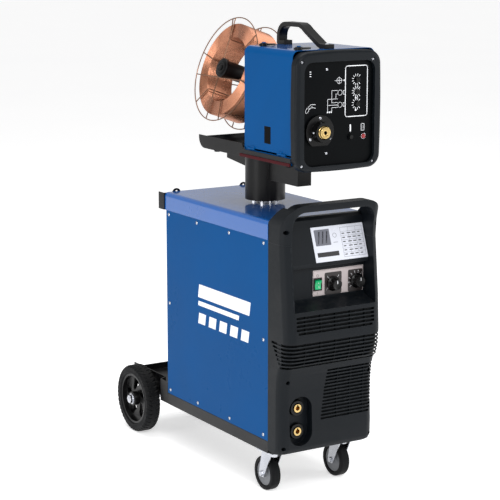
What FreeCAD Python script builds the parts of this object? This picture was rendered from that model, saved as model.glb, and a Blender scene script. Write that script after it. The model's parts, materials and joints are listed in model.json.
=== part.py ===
"""Workshop wire welder on a four-wheel cart, with a wire feeder that swivels on a post.

Millimetres, +Z up, the front faces -Y and the left side is -X. While modelling, y is measured
from the front edge of the sheet-metal casing and z from the floor; save() then shifts
everything so that the origin is on the floor under the middle of the whole machine.
"""
import FreeCAD, Part
import math
import os

V = FreeCAD.Vector
os.makedirs("parts", exist_ok=True)

# ---- driving dimensions -------------------------------------------------------------------
CENTRE_Y = 368.0          # middle of the whole machine, behind the front edge of the casing
CASE_HALF = 160.0         # half width of the main casing
CASE_DEPTH = 585.0        # front edge of the casing to its rear panel
LID_TOP = 800.0
LID_SEAM = 746.0          # lower edge of the lid's skirt
PANEL_BOTTOM = 167.0
RAIL_BOTTOM = 131.0
SHEET = 1.5               # sheet-metal thickness
WALL = 3.0                # moulded plastic wall
RIB_SETBACK = 1.2         # grille ribs stay this far behind the front of the slats
GAP = 0.3                 # clearance between faces that pass each other
FIT = 0.05                # radial clearance of a running fit

CORNER_R = 30.0           # vertical front corners of the plastic bezels
PILLAR_IN = 136.0         # inner face of the two front pillars
BEZEL_SPLIT = 391.0       # joint between the upper and the lower bezel
HANDLE_SEAM = 740.0       # joint between the upper bezel and the handle arch

POST_X = 0.0
POST_Y = 270.0
SPINDLE_R = 20.0
SLEEVE_R = 59.0
SLEEVE_BOTTOM = 812.0
TRAY_BOTTOM = 957.0
TRAY_HALF = 140.0

FEED_HALF = 135.0         # half width of the feeder's metal case
FEED_FRONT = -80.0        # rear face of the feeder's bezel
FEED_REAR = 165.0
FEED_BOTTOM = 961.0
FEED_TOP = 1270.0
PANEL_Y = -100.0          # front face of the feeder's control panel
FEED_BEZEL_FRONT = -110.0
FEED_BEZEL_HALF = 137.0   # at the corners; the sides bow outward from there
FEED_BEZEL_Z = (944.0, 1263.0)
SIDE_BOW = 4.0
TOP_BOW = 6.0
TORCH = (-63.0, 1051.0)   # x and z of the torch connector
DOOR_EDGE_X = -95.0       # edge of the door's top flange
DOOR_AXIS_Z = 985.0

SPOOL = V(0.0, 419.0, 1166.0)
SPOOL_TILT = 19.5         # degrees that the spool's axle is tipped, high at the left
SPOOL_R = 160.0
SPOOL_HALF = 50.0

WHEEL_R = 107.5
WHEEL_Y = 765.0
WHEEL_IN = 144.0
WHEEL_OUT = 192.0
AXLE_R = 10.0

CASTER_X = 120.0
CASTER_Y = 28.0
CASTER_TRAIL = 36.0
CASTER_R = 50.0
SIDES = (("left", -1.0), ("right", 1.0))


# ---- helpers ------------------------------------------------------------------------------
def box(x0, x1, y0, y1, z0, z1):
    return Part.makeBox(x1 - x0, y1 - y0, z1 - z0, V(x0, y0, z0))


def cyl(radius, start, end):
    a = V(*start)
    d = V(*end) - a
    return Part.makeCylinder(radius, d.Length, a, d)


def tube(outer, inner, start, end):
    return cyl(outer, start, end).cut(cyl(inner, start, end))


def cone(r0, r1, start, end):
    a = V(*start)
    d = V(*end) - a
    return Part.makeCone(r0, r1, d.Length, a, d)


def prism(points, direction):
    wire = Part.makePolygon(points + [points[0]])
    return Part.Face(wire).extrude(direction)


def prism_x(outline, x0, x1):
    return prism([V(x0, y, z) for y, z in outline], V(x1 - x0, 0, 0))


def prism_y(outline, y0, y1):
    return prism([V(x, y0, z) for x, z in outline], V(0, y1 - y0, 0))


def prism_z(outline, z0, z1):
    return prism([V(x, y, z0) for x, y in outline], V(0, 0, z1 - z0))


def join(*shapes):
    return shapes[0].fuse(list(shapes[1:])).removeSplitter()


def weld(*shapes):
    """Fuse one after another and keep the seams, for bodies with very many faces."""
    body = shapes[0]
    for shape in shapes[1:]:
        body = body.fuse(shape)
    return body


def group(*shapes):
    return Part.makeCompound(list(shapes))


def round_edges(shape, radius, wanted):
    """Fillet the edges for which wanted(edge) is true."""
    return shape.makeFillet(radius, [e for e in shape.Edges if wanted(e)])


def along(edge, axis):
    """True for a straight edge that runs along the axis named by its index."""
    a = edge.Vertexes[0].Point
    b = edge.Vertexes[-1].Point
    d = b - a
    return d.Length > 0.01 and abs(abs(d[axis]) - d.Length) < 1e-6


def rounded_box(x0, x1, y0, y1, z0, z1, radius, axis):
    """A box whose four edges along one axis are rounded."""
    return round_edges(box(x0, x1, y0, y1, z0, z1), radius, lambda e: along(e, axis))


def strip(points, thickness):
    """Outline of a bent strip: the points, and the same line offset to its left."""
    offset = []
    last = len(points) - 1
    for i, (a, b) in enumerate(points):
        pa = points[max(i - 1, 0)]
        pb = points[min(i + 1, last)]
        before = unit(a - pa[0], b - pa[1]) if i > 0 else unit(pb[0] - a, pb[1] - b)
        after = unit(pb[0] - a, pb[1] - b) if i < last else before
        n = unit(-before[1] - after[1], before[0] + after[0])
        scale = thickness / (n[0] * -before[1] + n[1] * before[0])
        offset.append((a + n[0] * scale, b + n[1] * scale))
    return list(points) + offset[::-1]


def unit(a, b):
    size = math.hypot(a, b)
    return (a / size, b / size)


def circle_points(radius, count, cx=0.0, cy=0.0, start=0.0, sweep=360.0):
    steps = count if sweep == 360.0 else count - 1
    angles = [math.radians(start + sweep * i / steps) for i in range(count)]
    return [(cx + radius * math.cos(t), cy + radius * math.sin(t)) for t in angles]


def hexagon(radius):
    return circle_points(radius, 6)


def mirrored(shape):
    """The same shape on the other side of the machine's middle plane."""
    return shape.mirror(V(0, 0, 0), V(1, 0, 0))


def save(name, shape):
    moved = shape.copy()
    moved.translate(V(0, -CENTRE_Y, 0))
    moved.exportStep("parts/" + name + ".step")


# ---- chassis ------------------------------------------------------------------------------
RAIL_TOP = PANEL_BOTTOM - 1.0


def make_base_frame():
    floor = box(-157, 157, -18, 584, RAIL_TOP - 3, RAIL_TOP)
    nose = box(-156, 156, -18, -15, RAIL_BOTTOM, RAIL_TOP)
    tail = box(-157, 157, 581, 584, RAIL_BOTTOM, RAIL_TOP)
    pieces = [floor, nose, tail]
    for s in (-1, 1):
        x0, x1 = sorted((s * 157.0, s * CASE_HALF))
        pieces.append(box(x0, x1, 0, 584, RAIL_BOTTOM, RAIL_TOP))
        x0, x1 = sorted((s * 75.0, s * 156.0))
        pieces.append(box(x0, x1, -18, 86, RAIL_BOTTOM, RAIL_BOTTOM + 3))
        x0, x1 = sorted((s * 130.0, s * 157.0))
        pieces.append(box(x0, x1, 80, 584, RAIL_BOTTOM, RAIL_BOTTOM + 3))
        x0, x1 = sorted((s * 74.0, s * 77.0))
        pieces.append(box(x0, x1, -18, 86, RAIL_BOTTOM, RAIL_TOP))
    frame = join(*pieces)
    for s in (-1, 1):
        x = s * LOW_SCREW[0]
        frame = frame.cut(cyl(2.1, (x, -20, LOW_SCREW[2]), (x, -10, LOW_SCREW[2])))
    save("base_frame", frame)


PLATFORM_Z = 165.0
PLATFORM_FRONT = 584.6
PLATFORM_REAR = 858.0


def make_bottle_platform():
    """Folded tray behind the casing that carries the gas bottle, with its axle brackets."""
    outline = [(-160, PLATFORM_FRONT), (-160, 632), (-134, 650), (-134, PLATFORM_REAR),
               (134, PLATFORM_REAR), (134, 650), (160, 632), (160, PLATFORM_FRONT)]
    wall = PLATFORM_FRONT + 3
    inside = [(-157, wall), (-157, 630.5), (-131, 648.5), (-131, PLATFORM_REAR - 3),
              (131, PLATFORM_REAR - 3), (131, 648.5), (157, 630.5), (157, wall)]
    tray = prism_z(outline, RAIL_BOTTOM, 200.0)
    tray = tray.cut(prism_z(inside, PLATFORM_Z, 210.0))
    tray = tray.cut(prism_z(inside, RAIL_BOTTOM - 5, PLATFORM_Z - 3))
    lip = box(-131, 131, 700, PLATFORM_REAR + 5, 185, 210)
    tray = tray.cut(lip)
    pieces = [tray]
    for s in (-1, 1):
        x0, x1 = sorted((s * 124.0, s * 130.0))
        plate = [(WHEEL_Y - 45, PLATFORM_Z - 2), (WHEEL_Y - 24, 92), (WHEEL_Y + 24, 92),
                 (WHEEL_Y + 45, PLATFORM_Z - 2)]
        pieces.append(prism_x(plate, x0, x1))
    body = join(*pieces)
    body = body.cut(cyl(AXLE_R, (-140, WHEEL_Y, WHEEL_R), (140, WHEEL_Y, WHEEL_R)))
    save("bottle_platform", body)


BOTTLE_R = 115.0


def make_bottle_cradle():
    """Black yoke across the top of the rear panel that steadies the gas bottle."""
    rear = 588.3
    plate = box(-165, 165, rear, rear + 3, LID_SEAM, LID_TOP - 2)
    pieces = [plate]
    for s in (-1, 1):
        x0, x1 = sorted((s * 162.0, s * 165.0))
        pieces.append(box(x0, x1, rear, rear + 34, LID_SEAM, LID_TOP - 2))
        lug = cyl(15, (s * 120, rear, LID_TOP - 6), (s * 120, rear + 3, LID_TOP - 6))
        pieces.append(lug)
    shelf = box(-165, 165, rear, rear + 34, LID_SEAM + 12, LID_SEAM + 15)
    shelf = shelf.cut(cyl(BOTTLE_R, (0, rear + 122, LID_SEAM), (0, rear + 122, LID_TOP)))
    pieces.append(shelf)
    body = join(*pieces)
    for s in (-1, 1):
        hole = cyl(4, (s * 120, rear - 5, LID_TOP - 1), (s * 120, rear + 8, LID_TOP - 1))
        body = body.cut(hole)
    save("bottle_cradle", body)


# ---- sheet-metal casing -------------------------------------------------------------------
SCREW_Y = (23.0, 209.0, 395.0, 565.0)
SCREW_Z = (734.0, 458.0, 181.0)


def panel_screw_places():
    """Rows of side-panel screws: four at the top and bottom, two half way up."""
    places = [(y, z) for z in (SCREW_Z[0], SCREW_Z[2]) for y in SCREW_Y]
    return places + [(SCREW_Y[0], SCREW_Z[1]), (SCREW_Y[-1], SCREW_Z[1])]


def make_side_panels():
    sheet = box(-CASE_HALF, -CASE_HALF + SHEET, 0.3, CASE_DEPTH - 2.3, PANEL_BOTTOM, 784)
    front = box(-CASE_HALF, -128, 0.3, 0.3 + SHEET, PANEL_BOTTOM, 784)
    rear = box(-CASE_HALF, -138, CASE_DEPTH - 3.8, CASE_DEPTH - 2.3, PANEL_BOTTOM, 784)
    panel = join(sheet, front, rear)
    for y, z in panel_screw_places():
        panel = panel.cut(cyl(2.1, (-CASE_HALF - 1, y, z), (-CASE_HALF + 4, y, z)))
    for x, y, z in (MID_SCREW, TOP_SCREW):
        panel = panel.cut(cyl(2.0, (-x, -2, z), (-x, 4, z)))
    save("side_panel_left", panel)
    save("side_panel_right", mirrored(panel))


def make_lid():
    half = CASE_HALF + SHEET
    outer = box(-half, half, 0.3, CASE_DEPTH + 3, LID_SEAM, LID_TOP)
    outer = round_edges(outer, 13, lambda e: along(e, 1) and e.CenterOfMass.z > LID_TOP - 1)
    top = LID_TOP - SHEET
    inner = box(-CASE_HALF, CASE_HALF, -5, CASE_DEPTH + SHEET, LID_SEAM - 5, top)
    inner = round_edges(inner, 11.5, lambda e: along(e, 1) and e.CenterOfMass.z > top - 1)
    lid = outer.cut(inner)
    lid = lid.cut(cyl(SPINDLE_R + 5, (0, POST_Y, 780), (0, POST_Y, 810)))
    for x, y in POST_BOLTS:
        lid = lid.cut(cyl(4.2, (x, y, 780), (x, y, 810)))
    save("lid", lid)


FAN_Z = 500.0
FAN_R = 98.0


def make_rear_panel():
    """Rear sheet with a slotted fan guard and the hole for the mains gland."""
    y0 = CASE_DEPTH - 2
    panel = box(-158, 158, y0, y0 + SHEET, PANEL_BOTTOM, 784)
    for i in range(-8, 9):
        z = FAN_Z + i * 12.0
        half = math.sqrt(FAN_R ** 2 - (i * 12.0) ** 2) if abs(i) < 9 else 0
        if half > 12:
            panel = panel.cut(box(-half, -5, y0 - 5, y0 + 5, z - 3, z + 3))
            panel = panel.cut(box(5, half, y0 - 5, y0 + 5, z - 3, z + 3))
    panel = panel.cut(cyl(16, (105, y0 - 5, GLAND_Z), (105, y0 + 5, GLAND_Z)))
    save("rear_panel", panel)


def make_casing_screws():
    """Pan-head screws of the side panels, and the screws deep in the front mouldings."""
    screws = []
    for s in (-1, 1):
        for y, z in panel_screw_places():
            x = s * CASE_HALF
            head = cyl(5, (x, y, z), (x + s * 1.4, y, z))
            dome = cone(5, 3, (x + s * 1.4, y, z), (x + s * 2.8, y, z))
            shank = cyl(2, (x - s * 7, y, z), (x, y, z))
            screws.append(join(head, dome, shank))
        for x, y, z in (LOW_SCREW, MID_SCREW, TOP_SCREW):
            head = cyl(4.2, (s * x, y - 3, z), (s * x, y, z))
            shank = cyl(1.9, (s * x, y, z), (s * x, 6, z))
            screws.append(join(head, shank))
    save("casing_screws", group(*screws))


# ---- front mouldings ----------------------------------------------------------------------
LOW_SCREW = (146.0, -40.0, 157.0)      # x, y of the head's seat, and z of the deep screws
MID_SCREW = (137.0, -40.0, 350.0)
TOP_SCREW = (150.0, -52.0, 777.0)

# height above the floor and position of the front face, from the side
UPPER_FRONT = ((BEZEL_SPLIT + 0.4, -84.0), (402.0, -93.0), (430.0, -101.0), (476.0, -104.0),
               (576.0, -99.0), (680.0, -88.0), (HANDLE_SEAM - 0.2, -83.0))
LOWER_FRONT = ((136.0, -48.0), (142.0, -59.0), (156.0, -68.0), (200.0, -69.0), (262.0, -66.0),
               (320.0, -67.0), (365.0, -72.0), (BEZEL_SPLIT, -80.0))
HANDLE_FRONT = ((HANDLE_SEAM, -83.0), (790.0, -87.0), (838.0, -98.0), (852.0, -98.0))


CORNER_STEPS = 10


def plan_points(z, front, rear, half, radius):
    """Outline at one height: straight sides and two rounded front corners."""
    centre_y = front + radius
    steps = CORNER_STEPS + 1
    left = circle_points(radius, steps, radius - half, centre_y, 180, 90)
    right = circle_points(radius, steps, half - radius, centre_y, 270, 90)
    return [V(x, y, z) for x, y in [(-half, rear)] + left + right + [(half, rear)]]


def moulded(profile, rear, inset, lift=0.0):
    """Solid of stacked slabs that follow a front profile, drawn in by inset all round."""
    half = CASE_HALF - inset
    heights = [z for z, front in profile]
    heights[0] -= lift
    heights[-1] += lift
    fronts = [front + inset for z, front in profile]
    slabs = []
    for i in range(len(heights) - 1):
        points = plan_points(heights[i], fronts[i], rear + 60, half, CORNER_R - inset)
        slabs.append(prism(points, V(0, fronts[i + 1] - fronts[i], heights[i + 1] - heights[i])))
    return join(*slabs).common(box(-200, 200, -300, rear, heights[0], heights[-1]))


LEDGE_Z = 553.0
RECESS = ((-99.0, LEDGE_Z), (-46.0, 570.0), (-40.0, 577.0), (-40.0, 662.0), (-61.0, 668.0),
          (-64.0, 678.0), (-30.0, 776.0), (-29.0, 795.0), (-20.0, 803.0), (-3.0, 803.0))
SLOT_H = 7.2
UPPER_SLOTS = 5
WRAP_SLOTS = 7
SLOT_PITCH = 11.0


def make_front_bezel_upper():
    """Bulged moulding with two pillars, the control recess between them and the grilles."""
    shell = moulded(UPPER_FRONT, 0, 0).cut(moulded(UPPER_FRONT, 5, WALL, 5))
    rib_limit = moulded(UPPER_FRONT, 5, RIB_SETBACK, 5)
    shell = shell.cut(box(-PILLAR_IN, PILLAR_IN, -140, 10, LEDGE_Z + 1, 760))
    for i in range(UPPER_SLOTS):
        z = 542.0 - i * SLOT_PITCH
        half = 131.0 - (6.0 if i == UPPER_SLOTS - 1 else 0.0)
        shell = shell.cut(box(-half, half, -140, -60, z - SLOT_H, z))
    for i in range(WRAP_SLOTS):
        z = 465.0 - i * SLOT_PITCH
        rear = -18.0 - 7.0 * i
        shell = shell.cut(box(-170, 170, -140, rear, z - SLOT_H, z))
    ribs = []
    for x in (-100, -50, 0, 50, 100):
        ribs.append(box(x - 1.5, x + 1.5, -120, -84, 394, 554).common(rib_limit))
    for s in (-1, 1):
        ribs.append(box(s * 156 - 1.5, s * 156 + 1.5, -64, -44, 394, 480))
    liner = prism_x(strip(RECESS[:-3], -WALL), -PILLAR_IN - WALL, PILLAR_IN + WALL)
    liner = liner.common(box(-200, 200, -120, 10, 500, HANDLE_SEAM - 0.2))
    brow = prism_x(strip(RECESS[5:], -WALL), -PILLAR_IN + GAP, PILLAR_IN - GAP)
    cheek = [(-97, LEDGE_Z), (-98, 576), (-87, 680), (-82, HANDLE_SEAM - 0.2),
             (-42.5, HANDLE_SEAM - 0.2), (-64, 678), (-61, 668), (-40, 662), (-40, 577), (-46, 570)]
    cheeks = []
    for s in (-1, 1):
        x0, x1 = sorted((s * PILLAR_IN, s * (PILLAR_IN + WALL)))
        cheeks.append(prism_x(cheek, x0, x1))
    body = weld(shell, liner, brow, *ribs, *cheeks)
    window = box(PLATE_X[0] + 0.7, PLATE_X[1] - 0.7, -42, -20, PLATE_Z[0] + 3, PLATE_Z[1] - 3)
    body = body.cut(window)
    save("front_bezel_upper", body)


SOCKET_X = -93.0
SOCKET_Z = (266.0, 198.0)
SOCKET_SEAT = -40.0
STADIUM_R = 38.0
LOWER_SLOTS = 15
LOWER_SLOT_H = 6.4
NOSE_CLEAR = -18.3        # just in front of the base frame's folded nose


def stadium(radius, y0, y1):
    """Upright slot shape round both current sockets."""
    top = cyl(radius, (SOCKET_X, y0, SOCKET_Z[0]), (SOCKET_X, y1, SOCKET_Z[0]))
    low = cyl(radius, (SOCKET_X, y0, SOCKET_Z[1]), (SOCKET_X, y1, SOCKET_Z[1]))
    mid = box(SOCKET_X - radius, SOCKET_X + radius, y0, y1, SOCKET_Z[1], SOCKET_Z[0])
    return join(top, low, mid)


def make_front_bezel_lower():
    """Lower moulding with the socket recess and a slotted grille."""
    outer = moulded(LOWER_FRONT, 0, 0)
    inner = moulded(LOWER_FRONT[1:], 5, WALL, 5).cut(box(-200, 200, -80, 10, 100, 139))
    shell = outer.cut(inner).cut(box(-200, 200, NOSE_CLEAR, 10, 100, 140))
    cup = stadium(STADIUM_R + WALL, -80, SOCKET_SEAT + WALL).common(outer)
    shell = join(shell, cup).cut(stadium(STADIUM_R, -90, SOCKET_SEAT))
    for z in SOCKET_Z:
        shell = shell.cut(cyl(17, (SOCKET_X, -60, z), (SOCKET_X, -20, z)))
    for i in range(LOWER_SLOTS):
        z = 373.0 - i * 10.0
        left = -8.0 - 1.3 * i
        right = 170.0 if i < 12 else 150.0 - 4 * (i - 12)
        shell = shell.cut(box(left, right, -120, -38, z - LOWER_SLOT_H, z))
    rib_limit = moulded(LOWER_FRONT[1:], 5, RIB_SETBACK, 5)
    ribs = [box(x - 1.5, x + 1.5, -90, -54, 210, 380).common(rib_limit) for x in (30, 75, 120)]
    bosses = []
    for s in (-1, 1):
        for x, y, z in (LOW_SCREW, MID_SCREW):
            end = NOSE_CLEAR if z < PANEL_BOTTOM else -1
            bosses.append(cyl(8.5, (s * x, -66, z), (s * x, end, z)))
    body = weld(shell, *ribs, *bosses)
    for s in (-1, 1):
        for x, y, z in (LOW_SCREW, MID_SCREW):
            body = body.cut(cyl(6, (s * x, -90, z), (s * x, y, z)))
            body = body.cut(cyl(2.0, (s * x, -90, z), (s * x, 5, z)))
    body = body.common(moulded(LOWER_FRONT, 0, 0))
    save("front_bezel_lower", body)


GRIP_UNDERSIDE = 831.0


def make_front_handle():
    """Arch over the front: two cheeks that carry a thick grip bar."""
    solid = moulded(HANDLE_FRONT, 0, 0)
    side = [(-110, HANDLE_SEAM), (0, HANDLE_SEAM), (0, 797), (-16, 812), (-36, 836),
            (-56, 850), (-110, 850)]
    solid = solid.common(prism_x(side, -200, 200))
    arch = [(-160, 700), (-160, 792)]
    arch += circle_points(56, 9, -104, 794, 180, -90)[1:]
    arch += circle_points(56, 9, 104, 794, 90, -90)
    arch += [(160, 792), (160, 700)]
    solid = solid.common(prism_y(arch, -140, 20))
    hand = [(-PILLAR_IN, 700), (-PILLAR_IN, 784)]
    hand += circle_points(36, 7, -PILLAR_IN + 36, GRIP_UNDERSIDE - 36, 180, -90)[1:]
    hand += circle_points(36, 7, PILLAR_IN - 36, GRIP_UNDERSIDE - 36, 90, -90)
    hand += [(PILLAR_IN, 784), (PILLAR_IN, 700)]
    solid = solid.cut(prism_y(hand, -140, 20))
    solid = solid.cut(box(-PILLAR_IN, PILLAR_IN, -60, 20, 700, 900))
    for s in (-1, 1):
        x, y, z = TOP_SCREW
        solid = solid.cut(cyl(6.5, (s * x, -120, z), (s * x, y, z)))
        solid = solid.cut(cyl(2.0, (s * x, -120, z), (s * x, 5, z)))
    save("front_handle", solid)


# ---- front plates, switches and sockets ---------------------------------------------------
LABEL_X = (-42.0, 134.0)
LABEL_SPAN = (1.5, 101.0)  # start and end of the label, measured up the sloping wall
PLATE_X = (-38.0, 133.0)
PLATE_Z = (580.0, 653.0)
PLATE_FACE = -41.5
ROCKER = (-23.0, -37.0, 613.0)
ROCKER_TILT = 8.0
KNOB_X = (30.0, 110.0)
KNOB_Z = 610.0
KNOB_R = 21.0
SWITCH_REAR = -8.0


def make_info_plate():
    foot = RECESS[5]
    top = RECESS[6]
    d = unit(top[0] - foot[0], top[1] - foot[1])
    line = [(foot[0] + d[0] * s, foot[1] + d[1] * s) for s in LABEL_SPAN]
    save("info_plate", prism_x(strip(line, 1.0), *LABEL_X))


def make_control_plate():
    plate = box(*PLATE_X, PLATE_FACE, RECESS[2][0], *PLATE_Z)
    x, y, z = ROCKER
    plate = plate.cut(box(x - 14, x + 14, -60, -20, z - 18, z + 18))
    for kx in KNOB_X:
        plate = plate.cut(cyl(5, (kx, -60, KNOB_Z), (kx, -20, KNOB_Z)))
    save("control_plate", plate)


def make_switch_bodies():
    """Housing of the mains rocker and the two multi-way selector switches."""
    x, y, z = ROCKER
    housing = box(x - 14, x + 14, PLATE_FACE - 3, -10, z - 18, z + 18)
    housing = housing.cut(box(x - 10, x + 10, -60, -20, z - 15, z + 15))
    housing = housing.cut(cyl(1.5 + FIT, (x - 12.6, y, z), (x + 12.6, y, z)))
    bodies = [housing]
    for kx in KNOB_X:
        can = cyl(22, (kx, RECESS[2][0], KNOB_Z), (kx, SWITCH_REAR, KNOB_Z))
        can = join(can, box(kx - 18, kx + 18, -30, -14, KNOB_Z - 25, KNOB_Z + 25))
        bodies.append(can.cut(cyl(3 + FIT, (kx, -60, KNOB_Z), (kx, -15, KNOB_Z))))
    save("switch_bodies", group(*bodies))


def make_power_rocker():
    """Two-sided rocker on a cross pin, drawn with its lower end pressed in."""
    x, y, z = ROCKER
    shape = [(-11, 12.5), (-7.5, 0), (-11, -12.5), (2, -12), (7, -6), (7, 6), (2, 12)]
    rocker = prism_x([(y + a, z + b) for a, b in shape], x - 9.7, x + 9.7)
    rocker = join(rocker, cyl(1.5, (x - 12.4, y, z), (x + 12.4, y, z)))
    rocker.rotate(V(x, y, z), V(1, 0, 0), ROCKER_TILT)
    save("power_rocker", rocker)


def make_selector_knobs():
    for name, kx in zip(("coarse_voltage_knob", "fine_voltage_knob"), KNOB_X):
        front = PLATE_FACE - 1.0
        skirt = cyl(KNOB_R, (kx, front - 4, KNOB_Z), (kx, front, KNOB_Z))
        grip = cone(17, 18.5, (kx, front - 23, KNOB_Z), (kx, front - 4, KNOB_Z))
        for gx, gz in circle_points(20.0, 12, kx, KNOB_Z, 15):
            grip = grip.cut(cyl(3.4, (gx, front - 30, gz), (gx, front - 5, gz)))
        shaft = cyl(3, (kx, front, KNOB_Z), (kx, -17, KNOB_Z))
        save(name, join(skirt, grip, shaft))


def make_current_sockets():
    shells = []
    inserts = []
    for z in SOCKET_Z:
        x = SOCKET_X
        flange = cone(22, 24, (x, SOCKET_SEAT - 10, z), (x, SOCKET_SEAT, z))
        thread = cyl(16.8, (x, SOCKET_SEAT, z), (x, -12, z))
        nut = prism_y([(x + a, z + b) for a, b in hexagon(25)], -37, -30)
        shell = join(flange, thread, nut)
        shells.append(shell.cut(cyl(12, (x, -80, z), (x, 0, z))))
        insert = cyl(12, (x, SOCKET_SEAT - 11.5, z), (x, -14, z))
        stud = cyl(6, (x, -14, z), (x, 14, z))
        insert = join(insert, stud).cut(cyl(6.75, (x, -80, z), (x, -20, z)))
        inserts.append(insert.cut(box(x - 2.2, x + 2.2, -60, -24, z, z + 9.5)))
    save("socket_shells", group(*shells))
    save("socket_inserts", group(*inserts))


# ---- what the casing holds ----------------------------------------------------------------
CORE_Y = (250.0, 320.0)
CORE_Z = (190.0, 410.0)
LIMB_X = (-105.0, 0.0, 105.0)
LIMB_HALF = 20.0


def make_transformer():
    """Three-phase core on two angle feet, with one coil round each limb."""
    reach = LIMB_X[2] + LIMB_HALF
    core = box(-reach, reach, *CORE_Y, *CORE_Z)
    for s in (-1, 1):
        x0, x1 = sorted((s * LIMB_HALF, s * (LIMB_X[2] - LIMB_HALF)))
        core = core.cut(box(x0, x1, 200, 400, CORE_Z[0] + 40, CORE_Z[1] - 40))
    feet = []
    for y0, y1 in ((CORE_Y[0] - 5, CORE_Y[0]), (CORE_Y[1], CORE_Y[1] + 5)):
        feet.append(box(-reach, reach, y0, y1, RAIL_TOP, CORE_Z[0] + 34))
    save("transformer_core", group(core, *feet))
    coils = []
    mid = sum(CORE_Y) / 2
    for x in LIMB_X:
        coil = rounded_box(x - 49, x + 49, mid - 64, mid + 64, 232, 368, 16, 2)
        hole = box(x - LIMB_HALF, x + LIMB_HALF, CORE_Y[0], CORE_Y[1], 200, 400)
        coils.append(coil.cut(hole))
    save("transformer_coils", group(*coils))


def make_choke():
    core = box(-45, 45, 405, 465, RAIL_TOP, 286)
    core = core.cut(box(-25, 25, 400, 470, 200, 260))
    leads = [cyl(5, (x, 435, 286), (x, 435, 300)) for x in (-30, 30)]
    bars = [box(-24.5, 24.5, 390, 400, 210, 250), box(-24.5, 24.5, 470, 480, 210, 250)]
    save("choke", group(join(core, *leads), *bars))


def make_rectifier_stack():
    """Row of aluminium cooling plates on two rods, standing on the transformer."""
    pieces = []
    for i in range(9):
        y = 250 + i * 8.0
        pieces.append(box(-70, 70, y, y + 2, 440, 560))
    for x in (-40, 40):
        pieces.append(cyl(6, (x, 246, 500), (x, 320, 500)))
    for x0, x1 in ((-72, -60), (60, 72)):
        pieces.append(box(x0, x1, 250, 316, CORE_Z[1], 444))
    save("rectifier_stack", join(*pieces))


def make_control_unit():
    """Upright mounting plate with the circuit board, the contactor and a terminal block."""
    plate = box(-140, 140, 120, 122, RAIL_TOP, 640)
    board = box(-120, 30, 110, 112, 450, 600)
    stands = [cyl(3, (x, 112, z), (x, 120, z)) for x in (-114, 24) for z in (456, 594)]
    chips = [box(-110 + 32 * i, -92 + 32 * i, 100 - 2 * i, 110, 480, 520 + 10 * i)
             for i in range(4)]
    contactor = join(box(60, 125, 66, 120, 480, 570), box(70, 115, 54, 70, 495, 555))
    terminals = [box(-100 + 18 * i, -84 + 18 * i, 96, 120, 300, 330) for i in range(6)]
    save("control_unit", group(plate, join(board, *stands, *chips), contactor, *terminals))


FAN_MOTOR_REAR = 552.0


def make_fan():
    can = cyl(38, (0, 502, FAN_Z), (0, FAN_MOTOR_REAR, FAN_Z))
    strap = box(-22, 22, 498, 502, RAIL_TOP, FAN_Z + 40)
    foot = box(-22, 22, 498, 540, RAIL_TOP, RAIL_TOP + 3)
    motor = join(can, strap, foot)
    motor = motor.cut(cyl(4 + FIT, (0, 515, FAN_Z), (0, 600, FAN_Z)))
    save("fan_motor", motor)
    hub = cyl(20, (0, 557, FAN_Z), (0, 575, FAN_Z))
    shaft = cyl(4, (0, 520, FAN_Z), (0, 557, FAN_Z))
    blades = []
    for i in range(5):
        blade = box(-24, 24, 565, 567, FAN_Z + 16, FAN_Z + 92)
        blade.rotate(V(0, 566, FAN_Z), V(0, 0, 1), 18)
        blade.rotate(V(0, 566, FAN_Z), V(0, 1, 0), i * 72.0)
        blades.append(blade)
    save("fan_blades", join(hub, shaft, *blades))


GLAND_Z = 240.0


def make_mains_gland():
    x = 105.0
    y = CASE_DEPTH - 0.5
    out = prism_y([(x + a, GLAND_Z + b) for a, b in hexagon(21)], y, y + 8)
    dome = cone(17, 12, (x, y + 8, GLAND_Z), (x, y + 22, GLAND_Z))
    thread = cyl(15.8, (x, y - 14, GLAND_Z), (x, y, GLAND_Z))
    nut = prism_y([(x + a, GLAND_Z + b) for a, b in hexagon(21)], y - 7, y - 1.5)
    gland = join(out, dome, thread, nut)
    save("mains_gland", gland.cut(cyl(7, (x, y - 20, GLAND_Z), (x, y + 30, GLAND_Z))))


# ---- wheels and casters -------------------------------------------------------------------
def make_rear_axle():
    """Axle rod with an inner collar, an outer washer and a hub nut at each end."""
    rod = cyl(AXLE_R, (-196, WHEEL_Y, WHEEL_R), (196, WHEEL_Y, WHEEL_R))
    pieces = [rod]
    for s in (-1, 1):
        inner = cyl(16, (s * 134.3, WHEEL_Y, WHEEL_R), (s * (WHEEL_IN - GAP), WHEEL_Y, WHEEL_R))
        washer = cyl(17, (s * (WHEEL_OUT + GAP), WHEEL_Y, WHEEL_R), (s * 194.5, WHEEL_Y, WHEEL_R))
        nut = prism_x([(WHEEL_Y + a, WHEEL_R + b) for a, b in hexagon(14)], 194.5, 203)
        cap = cone(9, 5, (203, WHEEL_Y, WHEEL_R), (205, WHEEL_Y, WHEEL_R))
        end = join(nut, cap)
        pieces += [inner, washer, end if s > 0 else mirrored(end)]
    save("rear_axle", join(*pieces))


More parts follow.
